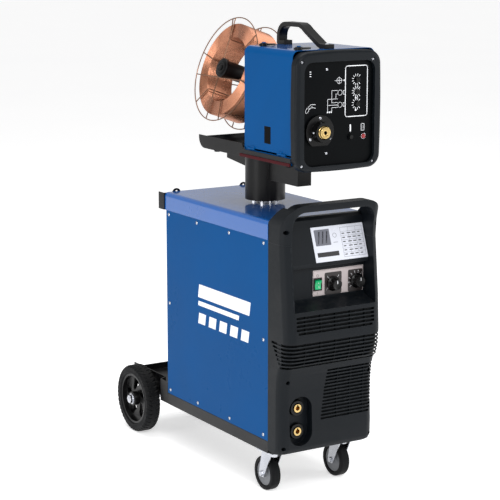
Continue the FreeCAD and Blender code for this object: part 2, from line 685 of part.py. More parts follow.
def make_rear_wheels():
    """Five-spoke hub with a solid rubber tyre; the pieces are drawn on the right-hand side."""
    centre = V(0, WHEEL_Y, WHEEL_R)
    mid = (WHEEL_IN + WHEEL_OUT) / 2

    def ring(outer, inner, x0, x1):
        return tube(outer, inner, (x0, WHEEL_Y, WHEEL_R), (x1, WHEEL_Y, WHEEL_R))

    bore = AXLE_R + FIT
    web = ring(76, bore, mid - 7, mid + 7)
    for i in range(5):
        wide = cyl(15, (100, WHEEL_Y, WHEEL_R + 54), (250, WHEEL_Y, WHEEL_R + 54))
        narrow = cyl(7, (100, WHEEL_Y + 13, WHEEL_R + 31), (250, WHEEL_Y + 13, WHEEL_R + 31))
        link = prism_x([(WHEEL_Y - 14.5, WHEEL_R + 50), (WHEEL_Y + 15, WHEEL_R + 53),
                        (WHEEL_Y + 20, WHEEL_R + 31), (WHEEL_Y + 8, WHEEL_R + 26)], 100, 250)
        for tool in (wide, narrow, link):
            tool.rotate(centre, V(1, 0, 0), i * 72.0)
            web = web.cut(tool)
    rim = join(web, ring(80, 74, mid - 20, mid + 20), ring(22, bore, WHEEL_IN, WHEEL_OUT))
    profile = [(mid - 20, 80), (WHEEL_IN, 84), (WHEEL_IN, 100), (WHEEL_IN + 7, WHEEL_R),
               (WHEEL_OUT - 7, WHEEL_R), (WHEEL_OUT, 100), (WHEEL_OUT, 84), (mid + 20, 80)]
    wire = Part.makePolygon([V(x, WHEEL_Y, WHEEL_R + r) for x, r in profile + profile[:1]])
    section = Part.Face(wire)
    tyre = section.revolve(centre, V(1, 0, 0), 360)
    save("rear_wheel_right", group(rim, tyre))
    save("rear_wheel_left", group(mirrored(rim), mirrored(tyre)))


def caster_plate():
    """Mounting plate of one caster with its king pin, drawn on the machine's middle plane."""
    plate = rounded_box(-36, 36, CASTER_Y - 44, CASTER_Y + 44, RAIL_BOTTOM - 5, RAIL_BOTTOM, 6, 2)
    pin = cyl(6, (0, CASTER_Y, 113.5), (0, CASTER_Y, RAIL_BOTTOM - 5))
    head = prism_z([(a, CASTER_Y + b) for a, b in hexagon(10)], 107, 113.5)
    bolts = []
    for x in (-27, 27):
        for y in (CASTER_Y - 35, CASTER_Y + 35):
            bolts.append(prism_z([(x + a, y + b) for a, b in hexagon(6.5)], 121.5, RAIL_BOTTOM - 5))
    return join(plate, pin, head, *bolts)


def caster_fork():
    top = RAIL_BOTTOM - 5 - GAP
    axle_y = CASTER_Y + CASTER_TRAIL
    head = tube(27, 6 + FIT, (0, CASTER_Y, top - 6), (0, CASTER_Y, top))
    deck = box(-20, 20, CASTER_Y - 16, CASTER_Y + 30, top - 6, top - 3)
    deck = deck.cut(cyl(6 + FIT, (0, CASTER_Y, 100), (0, CASTER_Y, 140)))
    head = join(head, deck)
    legs = []
    for x0, x1 in ((-20, -17), (17, 20)):
        leg = prism_x([(CASTER_Y - 16, top - 3), (CASTER_Y + 34, top - 3), (axle_y + 14, 56),
                       (axle_y + 9, 40), (axle_y - 9, 40), (axle_y - 14, 50)], x0, x1)
        legs.append(leg)
    bolt = cyl(5, (-21, axle_y, CASTER_R), (21, axle_y, CASTER_R))
    ends = [prism_x([(axle_y + a, CASTER_R + b) for a, b in hexagon(8)], -25, -20),
            prism_x([(axle_y + a, CASTER_R + b) for a, b in hexagon(8)], 20, 26)]
    return join(head, *legs, bolt, *ends)


def caster_wheel():
    axle_y = CASTER_Y + CASTER_TRAIL
    tyre = cyl(CASTER_R, (-15, axle_y, CASTER_R), (15, axle_y, CASTER_R))
    tyre = round_edges(tyre, 5, lambda e: e.Closed)
    for s in (-1, 1):
        groove = tube(36, 18, (s * 11, axle_y, CASTER_R), (s * 30, axle_y, CASTER_R))
        tyre = tyre.cut(groove)
    hub = cyl(11, (-16.7, axle_y, CASTER_R), (16.7, axle_y, CASTER_R))
    return join(tyre, hub).cut(cyl(5 + FIT, (-30, axle_y, CASTER_R), (30, axle_y, CASTER_R)))


def make_casters():
    plates = []
    for side, s in SIDES:
        x = V(s * CASTER_X, 0, 0)
        plate, fork, wheel = caster_plate(), caster_fork(), caster_wheel()
        for shape in (plate, fork, wheel):
            shape.translate(x)
        plates.append(plate)
        save("caster_fork_" + side, fork)
        save("caster_wheel_" + side, wheel)
    save("caster_plates", group(*plates))


# ---- swivel post and tray -----------------------------------------------------------------
POST_BOLTS = [(POST_X + a, POST_Y + b) for a, b in circle_points(33, 4, start=45)]


def make_pivot_post():
    """Spindle under the feeder: cross member below the lid, neck, spindle, cap and bolts."""
    member = box(-147, 147, POST_Y - 45, POST_Y + 45, LID_TOP - SHEET - 4, LID_TOP - SHEET)
    neck = cyl(21.5, (0, POST_Y, 790), (0, POST_Y, SLEEVE_BOTTOM - GAP))
    spindle = cyl(SPINDLE_R, (0, POST_Y, 800), (0, POST_Y, 900))
    cap = cyl(30, (0, POST_Y, 890), (0, POST_Y, 897))
    post = join(member, neck, spindle, cap)
    bolts = []
    for x, y in POST_BOLTS:
        post = post.cut(cyl(4, (x, y, 780), (x, y, 805)))
        head = prism_z([(x + a, y + b) for a, b in hexagon(7)], LID_TOP, LID_TOP + 5.5)
        bolts.append(join(head, cyl(4, (x, y, 786), (x, y, LID_TOP))))
    save("pivot_post", group(post, *bolts))


def make_feeder_support():
    """Sleeve that turns on the spindle, welded to the beam that carries the tray."""
    sleeve = cyl(SLEEVE_R, (0, POST_Y, SLEEVE_BOTTOM), (0, POST_Y, TRAY_BOTTOM))
    side = [(62, 875), (325, 875), (340, 900), (450, 913), (450, TRAY_BOTTOM), (62, TRAY_BOTTOM)]
    beam = prism_x(side, -23, 23)
    body = join(sleeve, beam)
    body = body.cut(cyl(52, (0, POST_Y, SLEEVE_BOTTOM + 6), (0, POST_Y, TRAY_BOTTOM - 5)))
    body = body.cut(cyl(SPINDLE_R + FIT, (0, POST_Y, 800), (0, POST_Y, 830)))
    body = body.cut(box(-20, 20, 66, POST_Y - 54, 878, TRAY_BOTTOM - 3))
    body = body.cut(box(-20, 20, POST_Y + 70, 446, 916, TRAY_BOTTOM - 3))
    save("feeder_support", body)


TRAY_REAR = 415.0
TRAY_R = 32.0


def make_feeder_tray():
    """Folded tray with side lips, round rear corner, rubber feet and two edge strips."""
    lip_top = TRAY_BOTTOM + 38
    front = FEED_FRONT + 1
    corner = circle_points(TRAY_R, 9, TRAY_REAR - TRAY_R, TRAY_BOTTOM + TRAY_R, 270, 90)
    side = [(front, TRAY_BOTTOM)] + corner + [(TRAY_REAR, lip_top), (172, lip_top),
                                              (166, TRAY_BOTTOM + 22), (front, TRAY_BOTTOM + 22)]
    lips = [prism_x(side, s * TRAY_HALF - 0.75 - s * 0.75, s * TRAY_HALF + 0.75 - s * 0.75)
            for s in (-1, 1)]
    floor = strip([(front, TRAY_BOTTOM)] + corner, 3)
    tray = join(prism_x(floor, -TRAY_HALF + 0.5, TRAY_HALF - 0.5), *lips)
    feet = [cone(9, 12, (x, y, TRAY_BOTTOM - 12), (x, y, TRAY_BOTTOM))
            for x in (-100, 100) for y in (-10, 375)]
    strips = []
    for s in (-1, 1):
        x0, x1 = sorted((s * TRAY_HALF, s * (TRAY_HALF + 2.5)))
        strips.append(box(x0, x1, front, 181, TRAY_BOTTOM + 0.5, TRAY_BOTTOM + 9))
    save("feeder_tray", group(tray, *feet, *strips))


# ---- wire feeder --------------------------------------------------------------------------
TOP_R = 20.0
HINGE_X = -FEED_HALF - 1.5
SILL_TOP = 981.0
LATCH_X = -106.0
LATCH_Y = (-66.0, 110.0)
WIRE = (-62.0, 1051.0)
ROLL_Y = 50.0
ROLL_R = 15.4
ROLL_OFFSET = 15.8
ARM_PIVOT = (95.0, 1088.0)
GAS = (112.0, 1120.0)
STRAP_BOLT = (-10.0, -59.0)


def make_feeder_case():
    """Fixed part of the metal case: folded floor, rear wall, and the wrap of right side and top."""
    def top_edge(height):
        return lambda e: along(e, 1) and abs(e.CenterOfMass.z - height) < 0.01

    outer = box(-FEED_HALF, FEED_HALF, FEED_FRONT, FEED_REAR, FEED_BOTTOM, FEED_TOP)
    outer = round_edges(outer, TOP_R, top_edge(FEED_TOP))
    half = FEED_HALF - SHEET
    inner = box(-half, half, FEED_FRONT - 5, FEED_REAR - SHEET, FEED_BOTTOM + SHEET,
                FEED_TOP - SHEET)
    inner = round_edges(inner, TOP_R - SHEET, top_edge(FEED_TOP - SHEET))
    case = outer.cut(inner)
    case = case.cut(box(-140, DOOR_EDGE_X + GAP, -90, FEED_REAR - SHEET, SILL_TOP, 1300))
    knuckles = []
    for y0, y1, p0, p1 in ((-50, -30, -50, -10), (130, 150, 110, 150)):
        knuckle = cyl(3, (HINGE_X, y0, DOOR_AXIS_Z), (HINGE_X, y1, DOOR_AXIS_Z))
        tab = box(HINGE_X, -half, y0, y1, SILL_TOP - 4, DOOR_AXIS_Z)
        pin = cyl(1.5, (HINGE_X, p0, DOOR_AXIS_Z), (HINGE_X, p1, DOOR_AXIS_Z))
        knuckles += [knuckle, tab, pin]
    back = FEED_REAR - SHEET
    pan = case.common(box(-FEED_HALF, half - GAP, FEED_FRONT, back - GAP, FEED_BOTTOM, SILL_TOP))
    pan = join(pan, *knuckles)
    rear = case.common(box(-FEED_HALF, FEED_HALF, back, FEED_REAR, FEED_BOTTOM, FEED_TOP))
    rear = rear.cut(cyl(9, (WIRE[0], 150, WIRE[1]), (WIRE[0], 190, WIRE[1])))
    rear = rear.cut(cyl(7, (GAS[0], 150, GAS[1]), (GAS[0], 190, GAS[1])))
    wrap = case.common(box(DOOR_EDGE_X, FEED_HALF, FEED_FRONT, back - GAP, FEED_BOTTOM, FEED_TOP))
    wrap = wrap.cut(box(-FEED_HALF, half, FEED_FRONT, back, FEED_BOTTOM, SILL_TOP))
    wrap = wrap.cut(cyl(3, (*STRAP_BOLT, FEED_TOP - 10), (*STRAP_BOLT, FEED_TOP + 5)))
    save("feeder_case", group(pan, rear, wrap))


def make_feeder_door():
    """Side door hinged along its lower edge, with its window and the two latch pins."""
    outline = [(-FEED_HALF, DOOR_AXIS_Z + 1)]
    outline += circle_points(TOP_R, 9, TOP_R - FEED_HALF, FEED_TOP - TOP_R, 180, -90)
    outline += [(DOOR_EDGE_X, FEED_TOP)]
    door = prism_y(strip(outline, -SHEET), FEED_FRONT + GAP, FEED_REAR - SHEET - GAP)
    door = door.cut(box(-140, -130, 28, 61, 1007, 1055))
    for y0, y1 in ((-50.3, -29.7), (129.7, 150.3)):
        door = door.cut(cyl(3.4, (HINGE_X, y0, DOOR_AXIS_Z), (HINGE_X, y1, DOOR_AXIS_Z)))
    parts = [door]
    for y0, y1 in ((-29.7, -10), (110, 129.7)):
        knuckle = cyl(3, (HINGE_X, y0, DOOR_AXIS_Z), (HINGE_X, y1, DOOR_AXIS_Z))
        tab = box(HINGE_X, SHEET - FEED_HALF, y0, y1, DOOR_AXIS_Z, DOOR_AXIS_Z + 8)
        parts += [knuckle, tab]
    for y in LATCH_Y:
        parts.append(cyl(3, (LATCH_X, y, FEED_TOP - SHEET), (LATCH_X, y, 1280)))
        parts.append(cyl(5.5, (LATCH_X, y, 1279), (LATCH_X, y, 1281.5)))
    door = join(*parts)
    for y0, y1 in ((-30, -9), (109, 130)):
        door = door.cut(cyl(1.5 + FIT, (HINGE_X, y0, DOOR_AXIS_Z), (HINGE_X, y1, DOOR_AXIS_Z)))
    save("feeder_door", door)


def make_door_latches():
    for name, y in zip(("door_latch_front", "door_latch_rear"), LATCH_Y):
        low = FEED_TOP + GAP
        disc = cyl(10, (LATCH_X, y, low), (LATCH_X, y, 1278.7))
        tongue = prism_z([(LATCH_X, y - 9), (LATCH_X + 26, y - 9), (LATCH_X + 36, y - 5),
                          (LATCH_X + 36, y + 5), (LATCH_X + 26, y + 9), (LATCH_X, y + 9)],
                         low + 1.5, 1276.5)
        grip = box(LATCH_X - 14, LATCH_X - 4, y - 4, y + 4, low + 1, 1277)
        latch = join(disc, tongue, grip)
        save(name, latch.cut(cyl(3 + FIT, (LATCH_X, y, 1260), (LATCH_X, y, 1290))))


BEZEL_SCREWS = ((-121.0, 960.5), (-121.0, 1240.0), (111.0, 1240.0), (112.0, 960.0))
OPEN_X = 116.0
OPEN_Z = (957.0, 1239.0)
OPEN_R = 28.0


def bowed_block(half, z0, z1, radius, y0, y1):
    """Block whose four sides bow outward between rounded edges."""
    mid = (z0 + z1) / 2
    corners = [V(-half, y0, z0), V(half, y0, z0), V(half, y0, z1), V(-half, y0, z1)]
    crowns = [V(0, y0, z0 - SIDE_BOW), V(half + SIDE_BOW, y0, mid), V(0, y0, z1 + TOP_BOW),
              V(-half - SIDE_BOW, y0, mid)]
    sides = []
    for i, crown in enumerate(crowns):
        sides.append(Part.Arc(corners[i], crown, corners[(i + 1) % 4]).toShape())
    block = Part.Face(Part.Wire(sides)).extrude(V(0, y1 - y0, 0))
    return round_edges(block, radius, lambda e: along(e, 1))


def make_feeder_bezel():
    """Thick plastic frame round the control panel, with rounded corners and front edge."""
    z0, z1 = FEED_BEZEL_Z
    half = FEED_BEZEL_HALF
    front = FEED_BEZEL_FRONT
    outer = bowed_block(half, z0, z1, 38, front, FEED_FRONT - 0.2)
    outer = round_edges(outer, 12, lambda e: e.BoundBox.YMax < front + 0.01)
    opening = rounded_box(-OPEN_X, OPEN_X, front - 5, 0, *OPEN_Z, OPEN_R, 1)
    seat = rounded_box(-OPEN_X - 5, OPEN_X + 5, PANEL_Y, 0, OPEN_Z[0] - 5, OPEN_Z[1] + 5,
                       OPEN_R + 5, 1)
    hollow = bowed_block(half - 4, z0 + 4, z1 - 4, 34, PANEL_Y + 3, 0)
    bezel = outer.cut(opening).cut(seat).cut(hollow)
    for x, z in BEZEL_SCREWS:
        bezel = bezel.cut(cyl(5, (x, front - 5, z), (x, front + 4, z)))
        bezel = bezel.cut(cyl(2, (x, front - 5, z), (x, -60, z)))
    save("feeder_bezel", bezel)


DIAL_X = 62.0
DIAL_Z = (1186.0, 1153.0, 1120.0)
BUTTON = (42.0, 1030.0)
LAMP = (85.0, 1030.0)
PANEL_SCREWS = ((-37.0, 1218.0), (-37.0, 990.0))
FLANGE_SCREWS = circle_points(37, 3, *TORCH, 90)


def make_feeder_panel():
    """Control panel with three potentiometers and the collar of the inching button."""
    back = PANEL_Y + 2
    plate = rounded_box(-OPEN_X - 4.7, OPEN_X + 4.7, PANEL_Y, back, OPEN_Z[0] - 4.7,
                        OPEN_Z[1] + 4.7, OPEN_R + 4.7, 1)
    plate = plate.cut(cyl(20, (TORCH[0], -120, TORCH[1]), (TORCH[0], -80, TORCH[1])))
    pots = []
    for z in DIAL_Z:
        plate = plate.cut(cyl(2.5, (DIAL_X, -120, z), (DIAL_X, -80, z)))
        pot = cyl(8, (DIAL_X, back, z), (DIAL_X, back + 12, z))
        pots.append(pot.cut(cyl(2 + FIT, (DIAL_X, back, z), (DIAL_X, back + 10, z))))
    x, z = BUTTON
    collar = tube(9, 5.5 + FIT, (x, PANEL_Y - 3, z), (x, back + 16, z))
    plate = join(plate, collar).cut(cyl(5.5 + FIT, (x, -120, z), (x, back + 16, z)))
    plate = plate.cut(cyl(6, (LAMP[0], -120, LAMP[1]), (LAMP[0], -80, LAMP[1])))
    for sx, sz in list(PANEL_SCREWS) + FLANGE_SCREWS:
        plate = plate.cut(cyl(1.8, (sx, -120, sz), (sx, -80, sz)))
    save("feeder_panel", group(plate, *pots))


def make_panel_controls():
    for name, z in zip(("dial_top", "dial_middle", "dial_bottom"), DIAL_Z):
        knob = cone(6.2, 7, (DIAL_X, PANEL_Y - 8, z), (DIAL_X, PANEL_Y - 0.6, z))
        slot = box(DIAL_X - 0.7, DIAL_X + 0.7, PANEL_Y - 9, PANEL_Y - 6.8, z, z + 7)
        shaft = cyl(2, (DIAL_X, PANEL_Y - 1, z), (DIAL_X, PANEL_Y + 11, z))
        save(name, join(knob.cut(slot), shaft))
    x, z = BUTTON
    button = cyl(5.5, (x, PANEL_Y - 6.5, z), (x, PANEL_Y + 12, z))
    save("inch_button", button)
    x, z = LAMP
    rim = cyl(8, (x, PANEL_Y - 1.5, z), (x, PANEL_Y, z))
    dome = cone(4, 6.5, (x, PANEL_Y - 6, z), (x, PANEL_Y - 1.5, z))
    body = cyl(5.9, (x, PANEL_Y, z), (x, PANEL_Y + 14, z))
    save("alarm_lamp", join(rim, dome, body))


TORCH_BORE_R = 5.0
TORCH_FACE = -136.0


def make_torch_connector():
    """Insulating flange with a flat lower edge, and the brass core that takes the torch."""
    x, z = TORCH
    disc = cyl(45, (x, PANEL_Y - 8, z), (x, PANEL_Y, z))
    disc = disc.cut(box(x - 50, x + 50, -120, -90, z - 60, z - 38))
    boss = cone(26, 29, (x, PANEL_Y - 29, z), (x, PANEL_Y - 8, z))
    flange = join(disc, boss).cut(cyl(19, (x, -150, z), (x, -60, z)))
    for sx, sz in FLANGE_SCREWS:
        flange = flange.cut(cyl(1.8, (sx, -120, sz), (sx, -90, sz)))
    save("torch_flange", flange)
    core = cyl(19, (x, TORCH_FACE, z), (x, -62, z))
    core = core.cut(cyl(TORCH_BORE_R, (x, -140, z), (x, -50, z)))
    for a, b, r in ((-9.5, 8, 2.4), (9.5, 8, 2.4), (0, -12, 3.0)):
        core = core.cut(cyl(r, (x + a, -140, z + b), (x + a, TORCH_FACE + 14, z + b)))
    save("torch_core", core)


HANDLE_X = (-24.0, 4.0)


def make_feeder_handle():
    """Flat carrying strap along the top: upright rear leg, sloping front leg, two feet."""
    base = FEED_TOP
    line = [(-74, base), (-44, base), (-32, base + 4), (34, 1309), (46, 1317), (60, 1322)]
    line += circle_points(30, 6, 130, 1292, 90, -90) + [(160, base + 12), (134, base + 12)]
    strap = prism_x(strip(line, 12), *HANDLE_X)
    save("feeder_handle", strap.cut(cyl(3, (*STRAP_BOLT, base - 5), (*STRAP_BOLT, base + 20))))


def make_feeder_screws():
    screws = []

    def screw(x, face, z, radius, length):
        head = cyl(radius, (x, face - 2.2, z), (x, face, z))
        slot = box(x - radius, x + radius, face - 3, face - 1.4, z - 0.5, z + 0.5)
        return join(head.cut(slot), cyl(1.7, (x, face, z), (x, face + length, z)))

    for x, z in BEZEL_SCREWS:
        screws.append(screw(x, FEED_BEZEL_FRONT + 4, z, 4.2, 24))
    for x, z in PANEL_SCREWS:
        screws.append(screw(x, PANEL_Y, z, 3.6, 10))
    for x, z in FLANGE_SCREWS:
        screws.append(screw(x, PANEL_Y - 8, z, 4.0, 16))
    top = FEED_TOP + 12
    screws.append(join(cyl(5, (*STRAP_BOLT, top), (*STRAP_BOLT, top + 2.5)),
                       cyl(2.9, (*STRAP_BOLT, FEED_TOP - 8), (*STRAP_BOLT, top))))
    save("feeder_screws", group(*screws))


def make_wire_drive():
    """Drive plate with gearbox and motor, wire guides, arm pivot and the gas valve."""
    x, z = WIRE
    plate = box(-30, -27, -30, 140, FEED_BOTTOM + SHEET, 1180)
    foot = box(-30, 10, -30, 140, FEED_BOTTOM + SHEET, FEED_BOTTOM + SHEET + 2)
    gearbox = box(-27, 20, 10, 100, 995, 1105)
    motor = cyl(31, (20, 50, 1040), (112, 50, 1040))
    pivot = cyl(4, (-79.3, *ARM_PIVOT), (-27, *ARM_PIVOT))
    head = cyl(7, (-82, *ARM_PIVOT), (-79.3, *ARM_PIVOT))
    inlet = cyl(5, (x, 78, z), (x, 182, z))
    inlet_block = box(x - 8, -29, 112, 128, z - 9, z + 9)
    outlet = cyl(4, (x, -61, z), (x, 22, z))
    outlet_block = box(x - 8, -29, -20, -6, z - 9, z + 9)
    drive = join(plate, foot, gearbox, motor, pivot, head, inlet, inlet_block,
                 outlet, outlet_block)
    drive = drive.cut(cyl(1.2, (x, -70, z), (x, 200, z)))
    drive = drive.cut(cyl(4 + FIT, (-40, ROLL_Y, z - ROLL_OFFSET), (5, ROLL_Y, z - ROLL_OFFSET)))
    valve = box(GAS[0] - 18, GAS[0] + 18, 128, FEED_REAR - SHEET, GAS[1] - 16, GAS[1] + 16)
    coil = box(GAS[0] - 15, GAS[0] + 15, 132, 160, GAS[1] + 16, GAS[1] + 50)
    nipple = cyl(6, (GAS[0], 160, GAS[1]), (GAS[0], 184, GAS[1]))
    save("wire_drive", group(drive, join(valve, coil, nipple)))


def make_drive_rolls():
    x, z = WIRE
    for name, zc, shaft in (("drive_roll_lower", z - ROLL_OFFSET, True),
                            ("drive_roll_upper", z + ROLL_OFFSET, False)):
        roll = cyl(ROLL_R, (x - 8, ROLL_Y, zc), (x + 8, ROLL_Y, zc))
        groove = tube(ROLL_R + 1, ROLL_R - 0.6, (x - 0.8, ROLL_Y, zc), (x + 0.8, ROLL_Y, zc))
        roll = roll.cut(groove)
        if shaft:
            roll = join(roll, cyl(4, (x + 8, ROLL_Y, zc), (3, ROLL_Y, zc)))
        else:
            roll = roll.cut(cyl(4 + FIT, (x - 10, ROLL_Y, zc), (x + 10, ROLL_Y, zc)))
        save(name, roll)


def make_pressure_arm():
    """Swinging arm that carries the upper roll and presses it on the wire."""
    x, z = WIRE
    py, pz = ARM_PIVOT
    side = [(py + 9, pz - 8), (py + 9, pz + 9), (10, pz + 22), (-8, pz + 18), (-8, pz + 8),
            (36, z + ROLL_OFFSET - 9), (62, z + ROLL_OFFSET - 9)]
    arm = prism_x(side, -78, -73)
    boss = cyl(9, (-78, py, pz), (-45, py, pz))
    stub = cyl(4, (-73, ROLL_Y, z + ROLL_OFFSET), (x + 9, ROLL_Y, z + ROLL_OFFSET))
    arm = join(arm, boss, stub)
    save("pressure_arm", arm.cut(cyl(4 + FIT, (-90, py, pz), (-40, py, pz))))


# ---- wire spool ---------------------------------------------------------------------------
WIRE_R = 2.0
HUB_R = 25.4
WIND_OUT = 141.0
WIND_IN = 97.0
BASKET_IN = WIND_IN - GAP - 2 * WIRE_R
SPOKES = 6
SPOKE_START = 15.0        # degrees from the rear of the machine


def on_spool(shape):
    """Move a shape drawn round the X axis at the origin to the tilted spool axle."""
    moved = shape.copy()
    moved.rotate(V(0, 0, 0), V(0, 1, 0), SPOOL_TILT)
    moved.translate(SPOOL)
    return moved


def basket_side(x):
    """One wire face of the basket: outer ring, six spokes and two wires past the hub."""
    ring_r = SPOOL_R - WIRE_R
    spoke_r = 0.95 * WIRE_R
    face = Part.makeTorus(ring_r, WIRE_R, V(x, 0, 0), V(1, 0, 0))
    for (y0, z0), (y1, z1) in zip(circle_points(BASKET_IN, SPOKES, start=SPOKE_START),
                                  circle_points(ring_r, SPOKES, start=SPOKE_START)):
        face = face.fuse(cyl(spoke_r, (x, y0, z0), (x, y1, z1)))
    off = HUB_R + 0.4 + WIRE_R
    reach = math.sqrt(ring_r ** 2 - off ** 2)
    face = face.fuse(cyl(spoke_r, (x, off, -reach), (x, off, reach)))
    return face.fuse(cyl(spoke_r, (x, -reach, -off), (x, reach, -off)))


def make_spool():
    side = SPOOL_HALF - WIRE_R
    basket = basket_side(-side).fuse(basket_side(side))
    for y, z in circle_points(BASKET_IN, SPOKES, start=SPOKE_START):
        basket = basket.fuse(cyl(WIRE_R, (-side - 1, y, z), (side + 1, y, z)))
    save("spool_basket", on_spool(basket))
    end = side - WIRE_R - 0.4
    save("wire_winding", on_spool(tube(WIND_OUT, WIND_IN, (-end, 0, 0), (end, 0, 0))))


def make_spool_spindle():
    """Hub and cap of the spool, on a sloping bracket that stands on the tray."""
    hub = cyl(HUB_R, (-56, 0, 0), (58, 0, 0))
    cap = cyl(29, (-64, 0, 0), (-54, 0, 0))
    cap = round_edges(cap, 3, lambda e: e.Closed and e.BoundBox.XMax < -63)
    side = [(-95, -240), (-56, -240), (-40, -150), (30, -60), (30, 30), (-30, 30), (-30, -60),
            (-95, -200)]
    holder = on_spool(join(hub, cap, prism_x(side, 58, 62)))
    tray_top = TRAY_BOTTOM + 3
    holder = holder.common(box(-200, 200, 300, 600, tray_top, 1400))
    foot = box(-34, 40, SPOOL.y - 95, SPOOL.y - 56, tray_top, tray_top + 3)
    save("spool_spindle", join(holder, foot))


def main():
    make_base_frame()
    make_bottle_platform()
    make_bottle_cradle()
    make_side_panels()
    make_lid()
    make_rear_panel()
    make_casing_screws()
    make_front_bezel_upper()
    make_front_bezel_lower()
    make_front_handle()
    make_info_plate()
    make_control_plate()
    make_switch_bodies()
    make_power_rocker()
    make_selector_knobs()
    make_current_sockets()
    make_transformer()
    make_choke()
    make_rectifier_stack()
    make_control_unit()
    make_fan()
    make_mains_gland()
    make_rear_axle()
    make_rear_wheels()
    make_casters()
    make_pivot_post()
    make_feeder_support()
    make_feeder_tray()
    make_feeder_case()
    make_feeder_door()
    make_door_latches()
    make_feeder_bezel()
    make_feeder_panel()
    make_panel_controls()
    make_torch_connector()
    make_feeder_handle()
    make_feeder_screws()
    make_wire_drive()
    make_drive_rolls()
    make_pressure_arm()
    make_spool()
    make_spool_spindle()


main()
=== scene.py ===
import bmesh
import bpy
import json
import math
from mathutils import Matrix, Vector


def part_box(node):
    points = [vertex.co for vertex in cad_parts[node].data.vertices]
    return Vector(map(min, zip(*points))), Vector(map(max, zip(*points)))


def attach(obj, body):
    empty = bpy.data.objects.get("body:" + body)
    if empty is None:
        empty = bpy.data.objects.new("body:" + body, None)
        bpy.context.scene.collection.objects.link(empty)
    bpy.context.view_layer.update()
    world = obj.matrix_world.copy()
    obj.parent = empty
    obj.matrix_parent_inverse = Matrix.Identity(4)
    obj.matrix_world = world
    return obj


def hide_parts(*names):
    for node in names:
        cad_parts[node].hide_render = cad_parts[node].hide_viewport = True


# Looks of a workshop wire welder on its cart. Metres, +Z up, the front faces -Y.
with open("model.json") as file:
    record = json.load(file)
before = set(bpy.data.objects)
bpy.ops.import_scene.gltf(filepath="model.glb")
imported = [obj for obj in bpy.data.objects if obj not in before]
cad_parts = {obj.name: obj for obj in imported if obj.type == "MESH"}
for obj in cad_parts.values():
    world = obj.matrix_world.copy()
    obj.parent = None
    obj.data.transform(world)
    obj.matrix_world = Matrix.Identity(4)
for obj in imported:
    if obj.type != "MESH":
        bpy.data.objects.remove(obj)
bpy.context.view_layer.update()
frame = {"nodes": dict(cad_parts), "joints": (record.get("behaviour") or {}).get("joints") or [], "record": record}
NODES = frame["nodes"]
RECORD = frame["record"]
SLOT = {row["node"]: row["material_slot"] for row in RECORD["subparts"]}
MM = 0.001


def centre(node):
    low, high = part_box(node)
    return (low + high) / 2


# ---- materials ----------------------------------------------------------------------------
def srgb(red, green, blue):
    """Linear colour of a display colour given from 0 to 255."""
    return tuple((c / 255) ** 2.2 for c in (red, green, blue)) + (1.0,)


def scaled(colour, factor):
    return tuple(min(c * factor, 1.0) for c in colour[:3]) + (1.0,)


class Graph:
    """A material with one Principled shader, and short calls that add nodes to it."""

    def __init__(self, name, settings):
        self.material = bpy.data.materials.new(name)
        self.material.use_nodes = True
        self.tree = self.material.node_tree
        self.tree.nodes.clear()
        output = self.tree.nodes.new("ShaderNodeOutputMaterial")
        self.shader = self.tree.nodes.new("ShaderNodeBsdfPrincipled")
        self.tree.links.new(self.shader.outputs[0], output.inputs[0])
        for socket, value in settings.items():
            self.shader.inputs[socket].default_value = value

    def node(self, kind, inputs=None, **properties):
        made = self.tree.nodes.new("ShaderNode" + kind)
        for key, value in properties.items():
            setattr(made, key, value)
        for key, value in (inputs or {}).items():
            self.feed(made.inputs[key], value)
        return made

    def feed(self, socket, value):
        if isinstance(value, bpy.types.NodeSocket):
            self.tree.links.new(value, socket)
        else:
            socket.default_value = value

    def coords(self):
        return self.node("TexCoord").outputs["Object"]

    def noise(self, scale, detail=2.0, vector=None, distortion=0.0):
        inputs = {"Vector": vector or self.coords(), "Scale": scale, "Detail": detail,
                  "Distortion": distortion}
        return self.node("TexNoise", inputs).outputs["Fac"]

    def spread(self, value, low, high, start=0.0, end=1.0):
        inputs = {"Value": value, "From Min": low, "From Max": high, "To Min": start, "To Max": end}
        return self.node("MapRange", inputs).outputs["Result"]

    def math(self, operation, a, b):
        return self.node("Math", {0: a, 1: b}, operation=operation).outputs[0]

    def mix(self, factor, a, b, blend="MIX"):
        made = self.node("Mix", {0: factor, 6: a, 7: b}, data_type="RGBA", blend_type=blend)
        return made.outputs[2]

    def stretched(self, x, y, z):
        inputs = {"Vector": self.coords(), "Scale": (x, y, z)}
        return self.node("Mapping", inputs).outputs["Vector"]

    def edges(self, radius):
        """1 along sharp outer and inner edges, 0 on open faces."""
        rounded = self.node("Bevel", {"Radius": radius}, samples=4).outputs["Normal"]
        plain = self.node("NewGeometry").outputs["Normal"]
        inputs = {0: rounded, 1: plain}
        facing = self.node("VectorMath", inputs, operation="DOT_PRODUCT").outputs["Value"]
        return self.spread(facing, 0.90, 0.99, 1.0, 0.0)

    def upward(self):
        """1 on faces that look up, where dust settles."""
        normal = self.node("NewGeometry").outputs["Normal"]
        height = self.node("SeparateXYZ", {0: normal}).outputs["Z"]
        return self.spread(height, 0.55, 0.95)

    def bump(self, height, distance):
        return self.node("Bump", {"Height": height, "Distance": distance}).outputs["Normal"]

    def use(self, **sockets):
        for key, value in sockets.items():
            self.feed(self.shader.inputs[key.replace("_", " ")], value)


